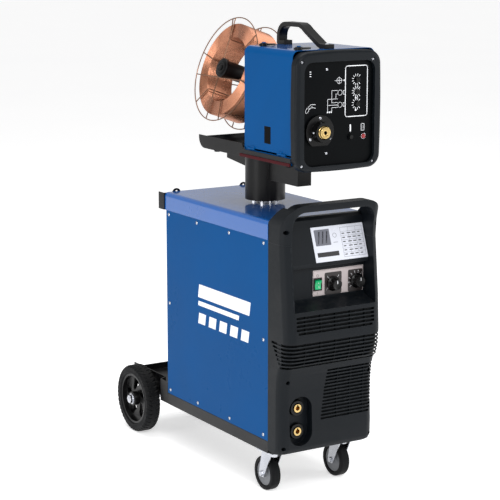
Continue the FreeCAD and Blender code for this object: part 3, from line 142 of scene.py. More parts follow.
def surface(name, colour, rough, spread=0.06, tone=0.10, grain=(400.0, 0.00004), worn=None,
            wear=0.5, wear_radius=0.0016, dust=0.04, smears=6.0, settings=None):
    """A finish with uneven tone and gloss, a fine grain, rubbed edges and a little dust."""
    g = Graph(name, settings or {})
    cloud = g.noise(smears, 5.0, distortion=0.6)
    speck = g.noise(smears * 14, 4.0)
    base = g.mix(g.spread(cloud, 0.3, 0.7), scaled(colour, 1 - tone), scaled(colour, 1 + tone))
    gloss = g.math("ADD", g.spread(cloud, 0.3, 0.7, rough - spread, rough + spread),
                   g.spread(speck, 0.3, 0.7, -spread / 2, spread / 2))
    if worn is not None:
        rubbed = g.math("MULTIPLY", g.edges(wear_radius), g.spread(speck, 0.42, 0.62, 0.0, wear))
        base = g.mix(rubbed, base, worn)
        gloss = g.math("ADD", gloss, g.math("MULTIPLY", rubbed, -0.10))
    if dust:
        film = g.math("MULTIPLY", g.upward(), g.spread(speck, 0.4, 0.7, 0.0, dust))
        base = g.mix(film, base, DUST)
        gloss = g.math("ADD", gloss, film)
    g.use(Base_Color=base, Roughness=gloss)
    scale, depth = grain
    g.use(Normal=g.bump(g.noise(scale, 3.0), depth))
    return g


DUST = srgb(150, 146, 140)


FINISH = {}


def finish(name, colour, rough, **details):
    """Make a finish of the object and keep its material under its name."""
    g = surface(name, colour, rough, **details)
    FINISH[name] = g.material
    return g


# powder coat: deep gloss with a faint orange-peel ripple
finish("blue_paint", srgb(0, 72, 126), 0.34, spread=0.07, tone=0.06, grain=(90.0, 0.00003),
       worn=srgb(30, 98, 166), wear=0.4, dust=0.0, smears=3.0,
       settings={"Specular IOR Level": 0.04})
# the same blue paint where it lies flat, made lighter as a painted highlight, under a wet-looking coat that
# mirrors the post
finish("lid_gloss", srgb(0, 84, 158), 0.30, spread=0.05, tone=0.05, grain=(60.0, 0.00002),
       worn=srgb(36, 108, 176), wear=0.4, dust=0.0, smears=3.0,
       settings={"Coat Weight": 0.9, "Coat Roughness": 0.03, "Specular IOR Level": 0.3})
finish("black_steel", srgb(13, 13, 15), 0.34, grain=(420.0, 0.00003), worn=srgb(70, 70, 72),
       wear=0.45, dust=0.02, settings={"Specular IOR Level": 0.22})
# textured moulding: sparkly fine grain, edges polished by handling
finish("charcoal_plastic", srgb(19, 23, 27), 0.46, spread=0.06, tone=0.08,
       grain=(900.0, 0.00010), worn=srgb(70, 74, 78), wear=0.45, dust=0.02,
       settings={"Specular IOR Level": 0.16})
finish("black_plastic", srgb(9, 9, 10), 0.32, grain=(700.0, 0.00004), worn=srgb(52, 52, 54),
       wear=0.4, dust=0.0, settings={"Specular IOR Level": 0.25})
finish("panel_black", srgb(9, 12, 14), 0.38, spread=0.04, grain=(1100.0, 0.00003), dust=0.0,
       settings={"Specular IOR Level": 0.06})
finish("light_plate", srgb(176, 166, 166), 0.36, tone=0.04, grain=(500.0, 0.00002),
       worn=srgb(226, 222, 222), wear=0.4, dust=0.0)
finish("label_white", srgb(205, 208, 218), 0.30, tone=0.03, grain=(300.0, 0.00001), dust=0.02)
# bright zinc plate with a faint spangle
finish("zinc", srgb(188, 190, 196), 0.26, spread=0.08, tone=0.08, smears=24.0,
       grain=(350.0, 0.00002), worn=srgb(232, 232, 234), wear=0.5, dust=0.05,
       settings={"Metallic": 1.0})
finish("brass", srgb(206, 176, 116), 0.20, spread=0.06, tone=0.14, smears=40.0,
       grain=(900.0, 0.00002), worn=srgb(236, 216, 166), wear=0.5, dust=0.0,
       settings={"Metallic": 1.0})
finish("copper_wire", srgb(172, 118, 92), 0.28, spread=0.06, tone=0.22, smears=14.0,
       grain=(700.0, 0.00002), dust=0.0, settings={"Metallic": 0.8})
finish("basket_wire", srgb(128, 94, 74), 0.34, spread=0.08, tone=0.2, smears=30.0,
       grain=(900.0, 0.00002), worn=srgb(176, 140, 118), wear=0.4, dust=0.0,
       settings={"Metallic": 0.8})
finish("board", srgb(28, 92, 54), 0.36, tone=0.2, smears=60.0)
finish("grey_plastic", srgb(108, 110, 114), 0.46, grain=(700.0, 0.00005),
       worn=srgb(150, 152, 156), wear=0.4)
# solid rubber, greyed by floor dust on the tread
finish("tyre", srgb(17, 18, 20), 0.62, spread=0.10, tone=0.18, smears=22.0,
       grain=(420.0, 0.00014), worn=srgb(64, 63, 62), wear=0.5, wear_radius=0.003, dust=0.03,
       settings={"Specular IOR Level": 0.15})
finish("drive_metal", srgb(150, 150, 156), 0.34, settings={"Metallic": 0.9})


def structured_finishes():
    """Finishes with a glow or with lines of their own."""
    g = finish("green_rocker", srgb(8, 150, 92), 0.22, tone=0.15, grain=(500.0, 0.00001),
               dust=0.0, smears=60.0, settings={"Emission Strength": 0.35})
    heart = g.spread(g.noise(50.0, 1.0), 0.3, 0.7)
    g.use(Emission_Color=g.mix(heart, srgb(0, 120, 70), srgb(60, 220, 150)))
    g = finish("red_lens", srgb(132, 10, 20), 0.14, tone=0.2, grain=(500.0, 0.00001),
               dust=0.0, smears=120.0, settings={"Coat Weight": 0.3, "Emission Strength": 0.03})
    g.use(Emission_Color=srgb(190, 20, 24))
    g = finish("lamination", srgb(92, 92, 98), 0.45, settings={"Metallic": 0.6})
    sheets = g.node("TexWave", {"Vector": g.coords(), "Scale": 300.0, "Distortion": 0.3},
                    bands_direction="Y").outputs["Fac"]
    g.use(Normal=g.bump(sheets, 0.0002))
    g = finish("winding_insulation", srgb(150, 104, 54), 0.40, tone=0.25, smears=20.0)
    turns = g.node("TexWave", {"Vector": g.coords(), "Scale": 120.0, "Distortion": 1.0},
                   bands_direction="Z").outputs["Fac"]
    g.use(Normal=g.bump(turns, 0.0004))
    g = finish("aluminium", srgb(200, 202, 206), 0.34, smears=12.0, settings={"Metallic": 1.0})
    drawn = g.noise(80.0, 3.0, vector=g.stretched(1.0, 1.0, 20.0))
    g.use(Normal=g.bump(drawn, 0.00005))


structured_finishes()


def ink(name, colour, rough=0.42):
    """Screen print: slightly uneven coverage."""
    g = surface(name, colour, rough, spread=0.05, tone=0.05, grain=(600.0, 0.00001), dust=0.0,
                smears=40.0)
    return g.material


WHITE_INK = ink("white_ink", srgb(232, 234, 238))
GREY_INK = ink("grey_ink", srgb(96, 98, 108))
# dark print, also used as painted shade in the torch nose's pin holes
DARK_INK_AND_SHADE = ink("dark_ink", srgb(30, 30, 34))
DIAL_INK = ink("dial_ink", srgb(38, 32, 32))
RED_STRIP = surface("red_strip", srgb(62, 8, 18), 0.40, tone=0.12, dust=0.0,
                    grain=(500.0, 0.00004), worn=srgb(120, 40, 48), wear=0.3,
                    settings={"Specular IOR Level": 0.08}).material
WINDOW = surface("smoked_window", srgb(3, 4, 6), 0.14, tone=0.1, grain=(200.0, 0.00001), dust=0.0,
                 settings={"Specular IOR Level": 0.04}).material

# ---- mesh helpers -------------------------------------------------------------------------
SMOOTH_BELOW = math.radians(32)


def show(name, bm, slot, body, replaces=(), material=None):
    """Turn a bmesh into a piece that rides on a body, in its slot's finish unless told."""
    bmesh.ops.recalc_face_normals(bm, faces=bm.faces)
    mesh = bpy.data.meshes.new(name)
    bm.to_mesh(mesh)
    bm.free()
    mesh.shade_smooth()
    mesh.set_sharp_from_angle(angle=SMOOTH_BELOW)
    mesh.materials.append(material or FINISH[slot])
    piece = bpy.data.objects.new(name, mesh)
    bpy.context.scene.collection.objects.link(piece)
    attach(piece, body)
    if replaces:
        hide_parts(*replaces)
    return piece


def bevel(bm, width, segments=2, angle=30.0):
    limit = math.radians(angle)
    sharp = [e for e in bm.edges if e.is_manifold and e.calc_face_angle(0.0) > limit]
    bmesh.ops.bevel(bm, geom=sharp, offset=width, segments=segments, profile=0.5,
                    affect="EDGES", clamp_overlap=True)


def soften(points, radius, closed=False, steps=4):
    """The same outline with its corners rounded."""
    rounded = []
    last = len(points) - 1
    for i, point in enumerate(points):
        corner = Vector(point)
        if not closed and i in (0, last):
            rounded.append(corner)
            continue
        before = Vector(points[i - 1]) - corner
        after = Vector(points[(i + 1) % len(points)]) - corner
        reach = min(radius, before.length * 0.45, after.length * 0.45)
        start = corner + before.normalized() * reach
        end = corner + after.normalized() * reach
        for k in range(steps + 1):
            t = k / steps
            rounded.append(start * (1 - t) ** 2 + corner * 2 * t * (1 - t) + end * t ** 2)
    return rounded


def turned(bm, profile, origin, axis, steps=64, closed=False, wobble=None):
    """Add a turned solid; the profile is (radius, distance along the axis) from the origin."""
    turn = Vector((0, 0, 1)).rotation_difference(Vector(axis)).to_matrix()
    rings = []
    for radius, along in profile:
        ring = []
        count = 1 if radius < 1e-6 else steps
        for k in range(count):
            a = 2 * math.pi * k / steps
            r = radius if wobble is None else wobble(a, radius, along)
            place = Vector((r * math.cos(a), r * math.sin(a), along))
            ring.append(bm.verts.new(origin + turn @ place))
        rings.append(ring)
    pairs = list(zip(rings, rings[1:]))
    if closed:
        pairs.append((rings[-1], rings[0]))
    for a, b in pairs:
        for k in range(steps):
            corners = [a[k % len(a)], a[(k + 1) % len(a)], b[(k + 1) % len(b)], b[k % len(b)]]
            unique = list(dict.fromkeys(corners))
            if len(unique) > 2:
                bm.faces.new(unique)
    return rings


def prism(bm, outline, axis, start, end):
    """Add a prism; the outline is in the two other axes, in x, y, z order."""
    places = [i for i in range(3) if i != axis]
    ends = []
    for level in (start, end):
        ring = []
        for a, b in outline:
            point = [0.0, 0.0, 0.0]
            point[axis] = level
            point[places[0]] = a
            point[places[1]] = b
            ring.append(bm.verts.new(point))
        ends.append(ring)
    cap(bm, ends)


def cap(bm, ends):
    """Close two matching rings of vertices into a prism."""
    count = len(ends[0])
    bm.faces.new(ends[0])
    bm.faces.new(ends[1][::-1])
    for k in range(count):
        n = (k + 1) % count
        bm.faces.new([ends[0][k], ends[1][k], ends[1][n], ends[0][n]])


def rectangle(u0, u1, v0, v1):
    return [(u0, v0), (u1, v0), (u1, v1), (u0, v1)]


def arc(u, v, radius, start=0.0, sweep=360.0, steps=24):
    count = steps if sweep == 360.0 else steps + 1
    angles = [math.radians(start + sweep * k / steps) for k in range(count)]
    return [(u + radius * math.cos(a), v + radius * math.sin(a)) for a in angles]


def wire(bm, points, radius, sides=8, closed=False):
    """Add a round wire along a line of points."""
    points = [Vector(p) for p in points]
    count = len(points)
    rings = []
    side = None
    for i, point in enumerate(points):
        before = points[i - 1] if i or closed else point
        after = points[(i + 1) % count] if i < count - 1 or closed else point
        ahead = (after - before).normalized()
        if side is None:
            side = ahead.orthogonal().normalized()
        side = (side - ahead * side.dot(ahead)).normalized()
        other = ahead.cross(side)
        ring = []
        for k in range(sides):
            a = 2 * math.pi * k / sides
            ring.append(bm.verts.new(point + (side * math.cos(a) + other * math.sin(a)) * radius))
        rings.append(ring)
    pairs = list(zip(rings, rings[1:]))
    if closed:
        pairs.append((rings[-1], rings[0]))
    else:
        bm.faces.new(rings[0])
        bm.faces.new(rings[-1][::-1])
    for a, b in pairs:
        shift = 0
        if closed and a is rings[-1]:
            shift = min(range(sides), key=lambda s: (a[0].co - b[s].co).length)
        for k in range(sides):
            n = (k + 1) % sides
            bm.faces.new([a[k], a[n], b[(n + shift) % sides], b[(k + shift) % sides]])


# ---- CAD nodes that stay: finish, softened edges ------------------------------------------
EDGE = {"base_frame": 0.6, "bottle_platform": 0.6, "bottle_cradle": 0.6, "side_panel_left": 0.5,
        "side_panel_right": 0.5, "lid": 0.5, "rear_panel": 0.4, "feeder_support": 1.0,
        "feeder_tray": 0.5, "feeder_case": 0.5, "feeder_door": 0.5, "feeder_bezel": 1.2,
        "front_bezel_upper": 0.7, "front_bezel_lower": 0.7, "front_handle": 3.5,
        "feeder_handle": 1.2, "spool_spindle": 0.8, "info_plate": 0.2, "control_plate": 0.3}


def dress(node):
    """Give a CAD node its finish, merge its flat faces and soften its sharp edges."""
    piece = NODES[node]
    mesh = piece.data
    mesh.materials.clear()
    # the lid gets the lighter blue: a painted highlight on its top
    mesh.materials.append(FINISH["lid_gloss" if node == "lid" else SLOT[node]])
    if "custom_normal" in mesh.attributes:
        mesh.attributes.remove(mesh.attributes["custom_normal"])
    mesh.shade_smooth()
    merge = piece.modifiers.new("merge", "WELD")
    merge.merge_threshold = 2e-6
    flat = piece.modifiers.new("flat", "DECIMATE")
    flat.decimate_type = "DISSOLVE"
    flat.angle_limit = math.radians(1)
    soft = piece.modifiers.new("soft", "BEVEL")
    soft.width = EDGE.get(node, 0.4) * MM
    soft.segments = 2
    soft.limit_method = "ANGLE"
    soft.angle_limit = math.radians(32)
    soft.use_clamp_overlap = True
    even = piece.modifiers.new("even", "WEIGHTED_NORMAL")
    even.keep_sharp = True


def tint(node, material, wanted):
    """Give the faces of a CAD node that wanted() accepts another finish."""
    mesh = NODES[node].data
    mesh.materials.append(material)
    index = len(mesh.materials) - 1
    for face in mesh.polygons:
        if wanted(face.center):
            face.material_index = index


for node_name in NODES:
    dress(node_name)

# ---- printing on flat faces ---------------------------------------------------------------
INK = 0.15 * MM
DIGIT_POINTS = {"a": (0, 2), "b": (1, 2), "c": (1, 1), "d": (1, 0), "e": (0, 0), "f": (0, 1)}
DIGITS = {"0": ("abdea",), "1": ("bd",), "2": ("abcfed",), "3": ("abde", "fc"),
          "4": ("afc", "bd"), "5": ("bafcde",), "6": ("baedcf",), "7": ("abd",),
          "8": ("abdea", "fc"), "9": ("cfabde",)}


class Print:
    """Thin raised ink on a flat face; shapes are in metres to the right and up the face."""

    def __init__(self, origin, right=(1, 0, 0), up=(0, 0, 1)):
        self.bm = bmesh.new()
        self.origin = Vector(origin)
        self.right = Vector(right).normalized()
        self.up = Vector(up).normalized()
        self.out = self.right.cross(self.up)

    def area(self, points):
        ends = []
        for lift in (-INK, INK):
            ends.append([self.bm.verts.new(self.origin + self.right * u + self.up * v
                                           + self.out * lift) for u, v in points])
        cap(self.bm, ends)

    def block(self, u0, u1, v0, v1):
        self.area(rectangle(u0, u1, v0, v1))

    def rounded(self, u0, u1, v0, v1, radius):
        self.area(soften(rectangle(u0, u1, v0, v1), radius, closed=True))

    def disc(self, u, v, radius, steps=32):
        self.area(arc(u, v, radius, steps=steps))

    def line(self, points, width, closed=False):
        points = [Vector(p) for p in points]
        following = points[1:] + points[:1] if closed else points[1:]
        for a, b in zip(points, following):
            ahead = (b - a).normalized() * width / 2
            side = Vector((-ahead.y, ahead.x))
            a0 = a - ahead * 0.5
            b0 = b + ahead * 0.5
            self.area([a0 - side, b0 - side, b0 + side, a0 + side])

    def ring(self, u, v, radius, width, start=0.0, sweep=360.0, steps=24):
        self.line(arc(u, v, radius, start, sweep, steps), width, closed=sweep == 360.0)

    def frame(self, u0, u1, v0, v1, width, radius=0.0):
        corners = rectangle(u0, u1, v0, v1)
        if radius:
            corners = soften(corners, radius, closed=True)
        self.line(corners, width, closed=True)

    def number(self, text, u, v, height, width):
        """Digits centred on a point."""
        pitch = height * 0.75
        for i, digit in enumerate(text):
            left = u - pitch * len(text) / 2 + pitch * i + pitch * 0.14
            for stroke in DIGITS[digit]:
                points = [(left + DIGIT_POINTS[p][0] * height / 2,
                           v + (DIGIT_POINTS[p][1] - 1) * height / 2) for p in stroke]
                self.line(points, width)

    def ticks(self, u, v, inner, outer, start, sweep, count, width):
        for i in range(count):
            a = math.radians(start + sweep * i / (count - 1))
            d = (math.cos(a), math.sin(a))
            self.line([(u + d[0] * inner, v + d[1] * inner), (u + d[0] * outer, v + d[1] * outer)],
                      width)

    def show(self, name, material, body, slot):
        show(name, self.bm, slot, body, material=material)


# ---- finishes of CAD nodes made of more than one material, and painted shade and highlight ---
# millimetres: upright ribs of each grille, and top, pitch and height of its runs of slots
RIBS = {"front_bezel_upper": (-100, -50, 0, 50, 100), "front_bezel_lower": (30, 75, 120)}
SLOTS = {"front_bezel_upper": ((542, 11.0, 7.2), (465, 11.0, 7.2)),
         "front_bezel_lower": ((373, 10.0, 6.4),)}
RIB_REACH = 1.6           # half of a rib, with a little to spare


def between_slats(node, point):
    """True for a point of an upright rib that shows in a slot, where the rib gets painted shade."""
    x, z = point.x / MM, point.z / MM
    if min(abs(x - place) for place in RIBS[node]) > RIB_REACH:
        return False
    run = next((r for r in reversed(SLOTS[node]) if z < r[0]), None)
    return run is not None and (run[0] - z) % run[1] < run[2]


def tint_mixed_nodes():
    """Feet, strips, bolts and fittings that share a node with something else, and painted shade and highlight on
    some faces.
    """
    tray_low, tray_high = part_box("feeder_tray")
    side = tray_high.x - 2.4 * MM
    tint("feeder_tray", RED_STRIP, lambda c: abs(c.x) > side)
    tint("feeder_tray", FINISH["tyre"], lambda c: c.z < tray_low.z + 12.5 * MM)
    lid_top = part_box("lid")[1].z
    post = centre("pivot_post")
    tint("pivot_post", FINISH["zinc"],
         lambda c: lid_top - 1 * MM < c.z < lid_top + 6 * MM and (c.xy - post.xy).length > 24 * MM)
    drive_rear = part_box("wire_drive")[1].y
    tint("wire_drive", FINISH["brass"], lambda c: c.y > drive_rear - 22 * MM)
    tint("wire_drive", FINISH["black_steel"], lambda c: c.x > -8 * MM and c.y < -225 * MM)
    plate_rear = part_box("control_unit")[1].y
    tint("control_unit", FINISH["black_plastic"], lambda c: c.y < plate_rear - 14 * MM)
    # painted shade: where the upright ribs show through the slots they are coloured black
    for node in RIBS:
        tint(node, FINISH["panel_black"], lambda c: between_slats(node, c))
    # painted highlight: the top faces of the feeder case and door get the lighter gloss blue
    for node in ("feeder_case", "feeder_door"):
        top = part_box("feeder_case")[1].z - 1.2 * MM
        tint(node, FINISH["lid_gloss"], lambda c: top < c.z < top + 2 * MM)
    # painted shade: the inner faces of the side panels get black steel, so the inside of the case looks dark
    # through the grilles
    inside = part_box("side_panel_right")[1].x - 1 * MM
    for side in ("left", "right"):
        tint("side_panel_" + side, FINISH["black_steel"], lambda c: abs(c.x) < inside)


# ---- rear wheels --------------------------------------------------------------------------
TREAD_LUGS = 44
LUG_DEPTH = 2.6 * MM
RIM_RADIUS = 79.9 * MM
BORE_EDGE = 10.5 * MM     # everything nearer the axle than this is the bore
BORE_GROWTH = 1.03        # keeps the facets of the bore clear of the axle's


def rear_wheel(side):
    """Black five-spoke rim and a ribbed solid tyre."""
    node = "rear_wheel_" + side
    low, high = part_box(node)
    middle = (low + high) / 2
    radius = (high.z - low.z) / 2
    half = (high.x - low.x) / 2
    bm = bmesh.new()
    bm.from_mesh(NODES[node].data)
    under_tyre = [f for f in bm.faces
                  if min((v.co.yz - middle.yz).length for v in f.verts) > RIM_RADIUS]
    bmesh.ops.delete(bm, geom=under_tyre, context="FACES")
    bmesh.ops.remove_doubles(bm, verts=bm.verts, dist=1e-6)
    bmesh.ops.dissolve_limit(bm, angle_limit=math.radians(1), verts=bm.verts, edges=bm.edges)
    for v in bm.verts:
        out = v.co.yz - middle.yz
        if out.length < BORE_EDGE:
            v.co.y, v.co.z = middle.yz + out * BORE_GROWTH
    bevel(bm, 1.2 * MM)
    show("rim_" + side, bm, "black_plastic", node)

    def tread(angle, r, along):
        """Slanting grooves round the outside, deepest at the shoulders."""
        across = along / half
        if r < radius - 9 * MM:
            return r
        phase = (angle * TREAD_LUGS / (2 * math.pi) + 0.55 * abs(across)) % 1.0
        if phase < 0.30 and abs(across) > 0.22:
            return r - LUG_DEPTH
        return r

    shoulder = radius - 7 * MM
    wall = radius - 24 * MM
    profile = [(80 * MM, 20 * MM), (wall - 1 * MM, half - 1.5 * MM), (wall + 1 * MM, half)]
    profile += [(wall + 6 * MM, half - 0.6 * MM), (wall + 12 * MM, half)]
    profile += [(shoulder, half), (radius - 2.2 * MM, half - 3.2 * MM), (radius, half - 8 * MM)]
    profile += [(radius, half * 0.45), (radius, half * 0.24), (radius, half * 0.2)]
    mirror = [(r, -along) for r, along in reversed(profile)]
    bm = bmesh.new()
    turned(bm, profile + mirror, middle, (1, 0, 0), steps=TREAD_LUGS * 8, closed=True, wobble=tread)
    show("tyre_" + side, bm, "tyre", node, [node])


# ---- casters ------------------------------------------------------------------------------
def caster_wheel(side):
    """Black-treaded wheel with a dished grey centre."""
    node = "caster_wheel_" + side
    low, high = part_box(node)
    middle = (low + high) / 2
    radius = (high.z - low.z) / 2
    half = 15 * MM
    tyre_in = 36 * MM
    profile = soften([(tyre_in, -half + 3 * MM), (tyre_in + 1.5 * MM, -half),
                      (radius - 2 * MM, -half), (radius, -half + 4 * MM),
                      (radius, half - 4 * MM), (radius - 2 * MM, half),
                      (tyre_in + 1.5 * MM, half), (tyre_in, half - 3 * MM)], 4 * MM, closed=True)
    bm = bmesh.new()
    turned(bm, profile, middle, (1, 0, 0), closed=True, steps=96)
    show("caster_tyre_" + side, bm, "tyre", node, [node])
    hub_half = (high.x - low.x) / 2
    profile = soften([(5.2 * MM, -hub_half), (11 * MM, -hub_half), (12 * MM, -half + 5 * MM),
                      (18 * MM, -half + 6 * MM), (30 * MM, -half + 5 * MM),
                      (tyre_in, -half + 3 * MM), (tyre_in, half - 3 * MM),
                      (30 * MM, half - 5 * MM), (18 * MM, half - 6 * MM),
                      (12 * MM, half - 5 * MM), (11 * MM, hub_half), (5.2 * MM, hub_half)],
                     1.2 * MM, closed=True)
    bm = bmesh.new()
    turned(bm, profile, middle, (1, 0, 0), closed=True, steps=64)
    show("caster_centre_" + side, bm, "black_plastic", node, material=FINISH["grey_plastic"])


# ---- selector knobs -----------------------------------------------------------------------
def selector_knob(node):
    """Fluted knob on a marked skirt with a white pointer line."""
    low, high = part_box(node)
    middle = (low + high) / 2
    front = low.y
    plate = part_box("control_plate")[0].y
    radius = (high.x - low.x) / 2
    origin = Vector((middle.x, plate - 0.5 * MM, middle.z))
    length = origin.y - front
    skirt = 6 * MM
    grip = radius * 0.78

    def flutes(angle, r, along):
        if r < grip * 0.8 or along < skirt + 1.5 * MM or along > length - 1.2 * MM:
            return r
        return r - 2.2 * MM * (0.5 + 0.5 * math.cos(angle * 10)) ** 2

    profile = [(0, 0), (radius, 0), (radius, skirt - 2 * MM), (radius - 2.5 * MM, skirt),
               (grip + 1.2 * MM, skirt + 0.6 * MM), (grip + 0.6 * MM, skirt + 1.4 * MM),
               (grip + 0.4 * MM, skirt + 3 * MM), (grip, length * 0.75),
               (grip - 0.2 * MM, length - 2 * MM),
               (grip - 1.4 * MM, length - 0.5 * MM), (grip - 3 * MM, length),
               (grip - 5 * MM, length - 0.8 * MM), (0, length - 0.8 * MM)]
    bm = bmesh.new()
    turned(bm, profile, origin, (0, -1, 0), steps=128, wobble=flutes)
    show(node + "_cap", bm, "black_plastic", node, [node])
    mark = Print((middle.x, front + 0.8 * MM, middle.z))
    mark.block(-0.9 * MM, 0.9 * MM, 2 * MM, grip - 5.4 * MM)
    mark.show(node + "_pointer", WHITE_INK, node, "label_white")


# ---- screws -------------------------------------------------------------------------------
def cross_head(bm, face, axis, radius, height):
    """Pan head with a cross recess, drawn as rings that dip inside the cross."""
    turn = Vector((0, 0, 1)).rotation_difference(Vector(axis)).to_matrix()
    steps = 32
    arm = radius * 0.17
    rings = []
    for share in (1.0, 1.0, 0.93, 0.8, 0.62, 0.56, 0.4, 0.2, 0.0):
        count = 1 if share == 0 else steps
        ring = []
        for k in range(count):
            a = 2 * math.pi * k / steps
            x = radius * share * math.cos(a)
            y = radius * share * math.sin(a)
            lift = height * (1 - 0.55 * share ** 3)
            if not rings:
                lift = 0.0
            if share < 0.6 and min(abs(x), abs(y)) < arm:
                lift -= height * 0.5
            ring.append(bm.verts.new(face + turn @ Vector((x, y, lift))))
        rings.append(ring)
    for a, b in zip(rings, rings[1:]):
        for k in range(steps):
            n = (k + 1) % steps
            corners = [a[k % len(a)], a[n % len(a)], b[n % len(b)], b[k % len(b)]]
            bm.faces.new(list(dict.fromkeys(corners)))
    bm.faces.new(rings[0][::-1])


def shells(node):
    """Lowest and highest corner of each separate shell of a CAD node."""
    bm = bmesh.new()
    bm.from_mesh(NODES[node].data)
    bmesh.ops.remove_doubles(bm, verts=bm.verts, dist=1e-6)
    seen = set()
    found = []
    for first in bm.verts:
        if first in seen:
            continue
        seen.add(first)
        stack = [first]
        points = []
        while stack:
            v = stack.pop()
            points.append(v.co)
            for e in v.link_edges:
                other = e.other_vert(v)
                if other not in seen:
                    seen.add(other)
                    stack.append(other)
        low = Vector([min(p[i] for p in points) for i in range(3)])
        high = Vector([max(p[i] for p in points) for i in range(3)])
        found.append((low, high))
    bm.free()
    return found


def casing_screws():
    bm = bmesh.new()
    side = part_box("side_panel_right")[1].x
    for low, high in shells("casing_screws"):
        middle = (low + high) / 2
        if high.x - low.x > high.y - low.y or high.x > side + 1 * MM or low.x < -side - 1 * MM:
            s = 1 if middle.x > 0 else -1
            radius = (high.z - low.z) / 2
            cross_head(bm, Vector((s * side, middle.y, middle.z)), (s, 0, 0), radius, 2.7 * MM)
        else:
            radius = (high.x - low.x) / 2
            seat = Vector((middle.x, low.y + 3 * MM, middle.z))
            cross_head(bm, seat, (0, -1, 0), radius, 2.6 * MM)
    show("screw_heads", bm, "zinc", "cart", ["casing_screws"])


def feeder_screws():
    bm = bmesh.new()
    for low, high in shells("feeder_screws"):
        middle = (low + high) / 2
        if high.z - low.z > high.y - low.y:
            cross_head(bm, Vector((middle.x, middle.y, high.z - 2.5 * MM)), (0, 0, 1),
                       (high.x - low.x) / 2, 2.4 * MM)
        else:
            cross_head(bm, Vector((middle.x, low.y + 2.2 * MM, middle.z)), (0, -1, 0),
                       (high.x - low.x) / 2, 2.1 * MM)
    show("feeder_screw_heads", bm, "zinc", "feeder", ["feeder_screws"])


# ---- current sockets and torch connector --------------------------------------------------
def current_sockets():
    """Black threaded shells with a rolled edge round bright inserts."""
    bm = bmesh.new()
    for low, high in shells("socket_shells"):
        middle = (low + high) / 2
        seat = low.y + 10 * MM
        profile = soften([(12 * MM, -14 * MM), (16.8 * MM, -14 * MM), (16.8 * MM, 0), (24 * MM, 0),
                          (24 * MM, 3 * MM), (22 * MM, 9.8 * MM), (14.5 * MM, 9.8 * MM),
                          (12.2 * MM, 6.5 * MM)], 1.6 * MM, closed=True)
        turned(bm, profile, Vector((middle.x, seat, middle.z)), (0, -1, 0), closed=True)
    show("socket_collars", bm, "black_plastic", "cart", ["socket_shells"])


def torch_connector():
    """Turned brass nose with a bright inner ring, set in the round-edged insulator."""
    low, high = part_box("torch_core")
    x, z = (low.x + high.x) / 2, (low.z + high.z) / 2
    radius = (high.x - low.x) / 2
    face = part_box("torch_flange")[1].y
    length = face - low.y
    profile = soften([(5 * MM, -20 * MM), (radius - 0.4 * MM, -20 * MM),
                      (radius - 0.4 * MM, length - 9 * MM),
                      (radius - 3 * MM, length - 7 * MM), (radius - 3 * MM, length - 1 * MM),
                      (radius - 4 * MM, length), (8.4 * MM, length), (8.0 * MM, length - 1.5 * MM),
                      (5 * MM, length - 1.5 * MM)], 0.8 * MM, closed=True)
    bm = bmesh.new()
    turned(bm, profile, Vector((x, face, z)), (0, -1, 0), steps=96, closed=True)
    show("torch_nose", bm, "brass", "feeder", ["torch_core"])
    # painted shade: dark discs on the brass face stand for its shaded pin holes
    hole_shade = Print((x, low.y + 0.25 * MM, z))
    for u, v, r in ((-9.5, 8, 2.2), (9.5, 8, 2.2), (0, -12, 2.6)):
        hole_shade.disc(u * MM, v * MM, r * MM)
    hole_shade.show("torch_nose_holes", DARK_INK_AND_SHADE, "feeder", "black_plastic")
    bm = bmesh.new()
    cross_head(bm, Vector((x - 27.5 * MM, face - 17 * MM, z)), (-1, -0.3, 0), 3.2 * MM, 2 * MM)
    show("torch_clamp_screw", bm, "zinc", "feeder")


def lamp():
    low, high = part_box("alarm_lamp")
    x, z = (low.x + high.x) / 2, (low.z + high.z) / 2
    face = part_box("torch_flange")[1].y
    reach = face - low.y
    origin = Vector((x, face, z))
    bm = bmesh.new()
    rim = soften([(6.6 * MM, -3 * MM), (8 * MM, 0), (8 * MM, 1.2 * MM), (7.2 * MM, 1.5 * MM),
                  (6.6 * MM, 1.2 * MM)], 0.4 * MM, closed=True)
    turned(bm, rim, origin, (0, -1, 0), closed=True)
    show("lamp_rim", bm, "zinc", "feeder", ["alarm_lamp"])
    dome = [(0, -3 * MM), (6.5 * MM, -3 * MM), (6.5 * MM, 1.5 * MM)]
    dome += [(6.5 * MM * math.cos(t), 1.5 * MM + (reach - 1.5 * MM) * math.sin(t))
             for t in (math.pi / 2 * k / 8 for k in range(1, 8))]
    dome.append((0, reach))
    bm = bmesh.new()
    turned(bm, dome, origin, (0, -1, 0), steps=48)
    show("lamp_dome", bm, "red_lens", "feeder")


# ---- wire spool ---------------------------------------------------------------------------
WIRE_PITCH = 3.2 * MM
WIND_IN = 97.2 * MM
WIND_OUT = 140.8 * MM
BASKET_R = 158.0 * MM
BASKET_IN = 92.7 * MM
BASKET_HALF = 48.0 * MM
HUB_END = 64.0 * MM
SPOKES = 6
SPOKE_START = 15


def spool_axis():
    """Middle and direction of the tilted spool, from the record's joint."""
    joint = next(j for j in frame["joints"] if j["child"] == "spool")
    axis = Vector(joint["axis"]).normalized()
    if axis.x > 0:
        axis.negate()
    return centre("wire_winding"), axis


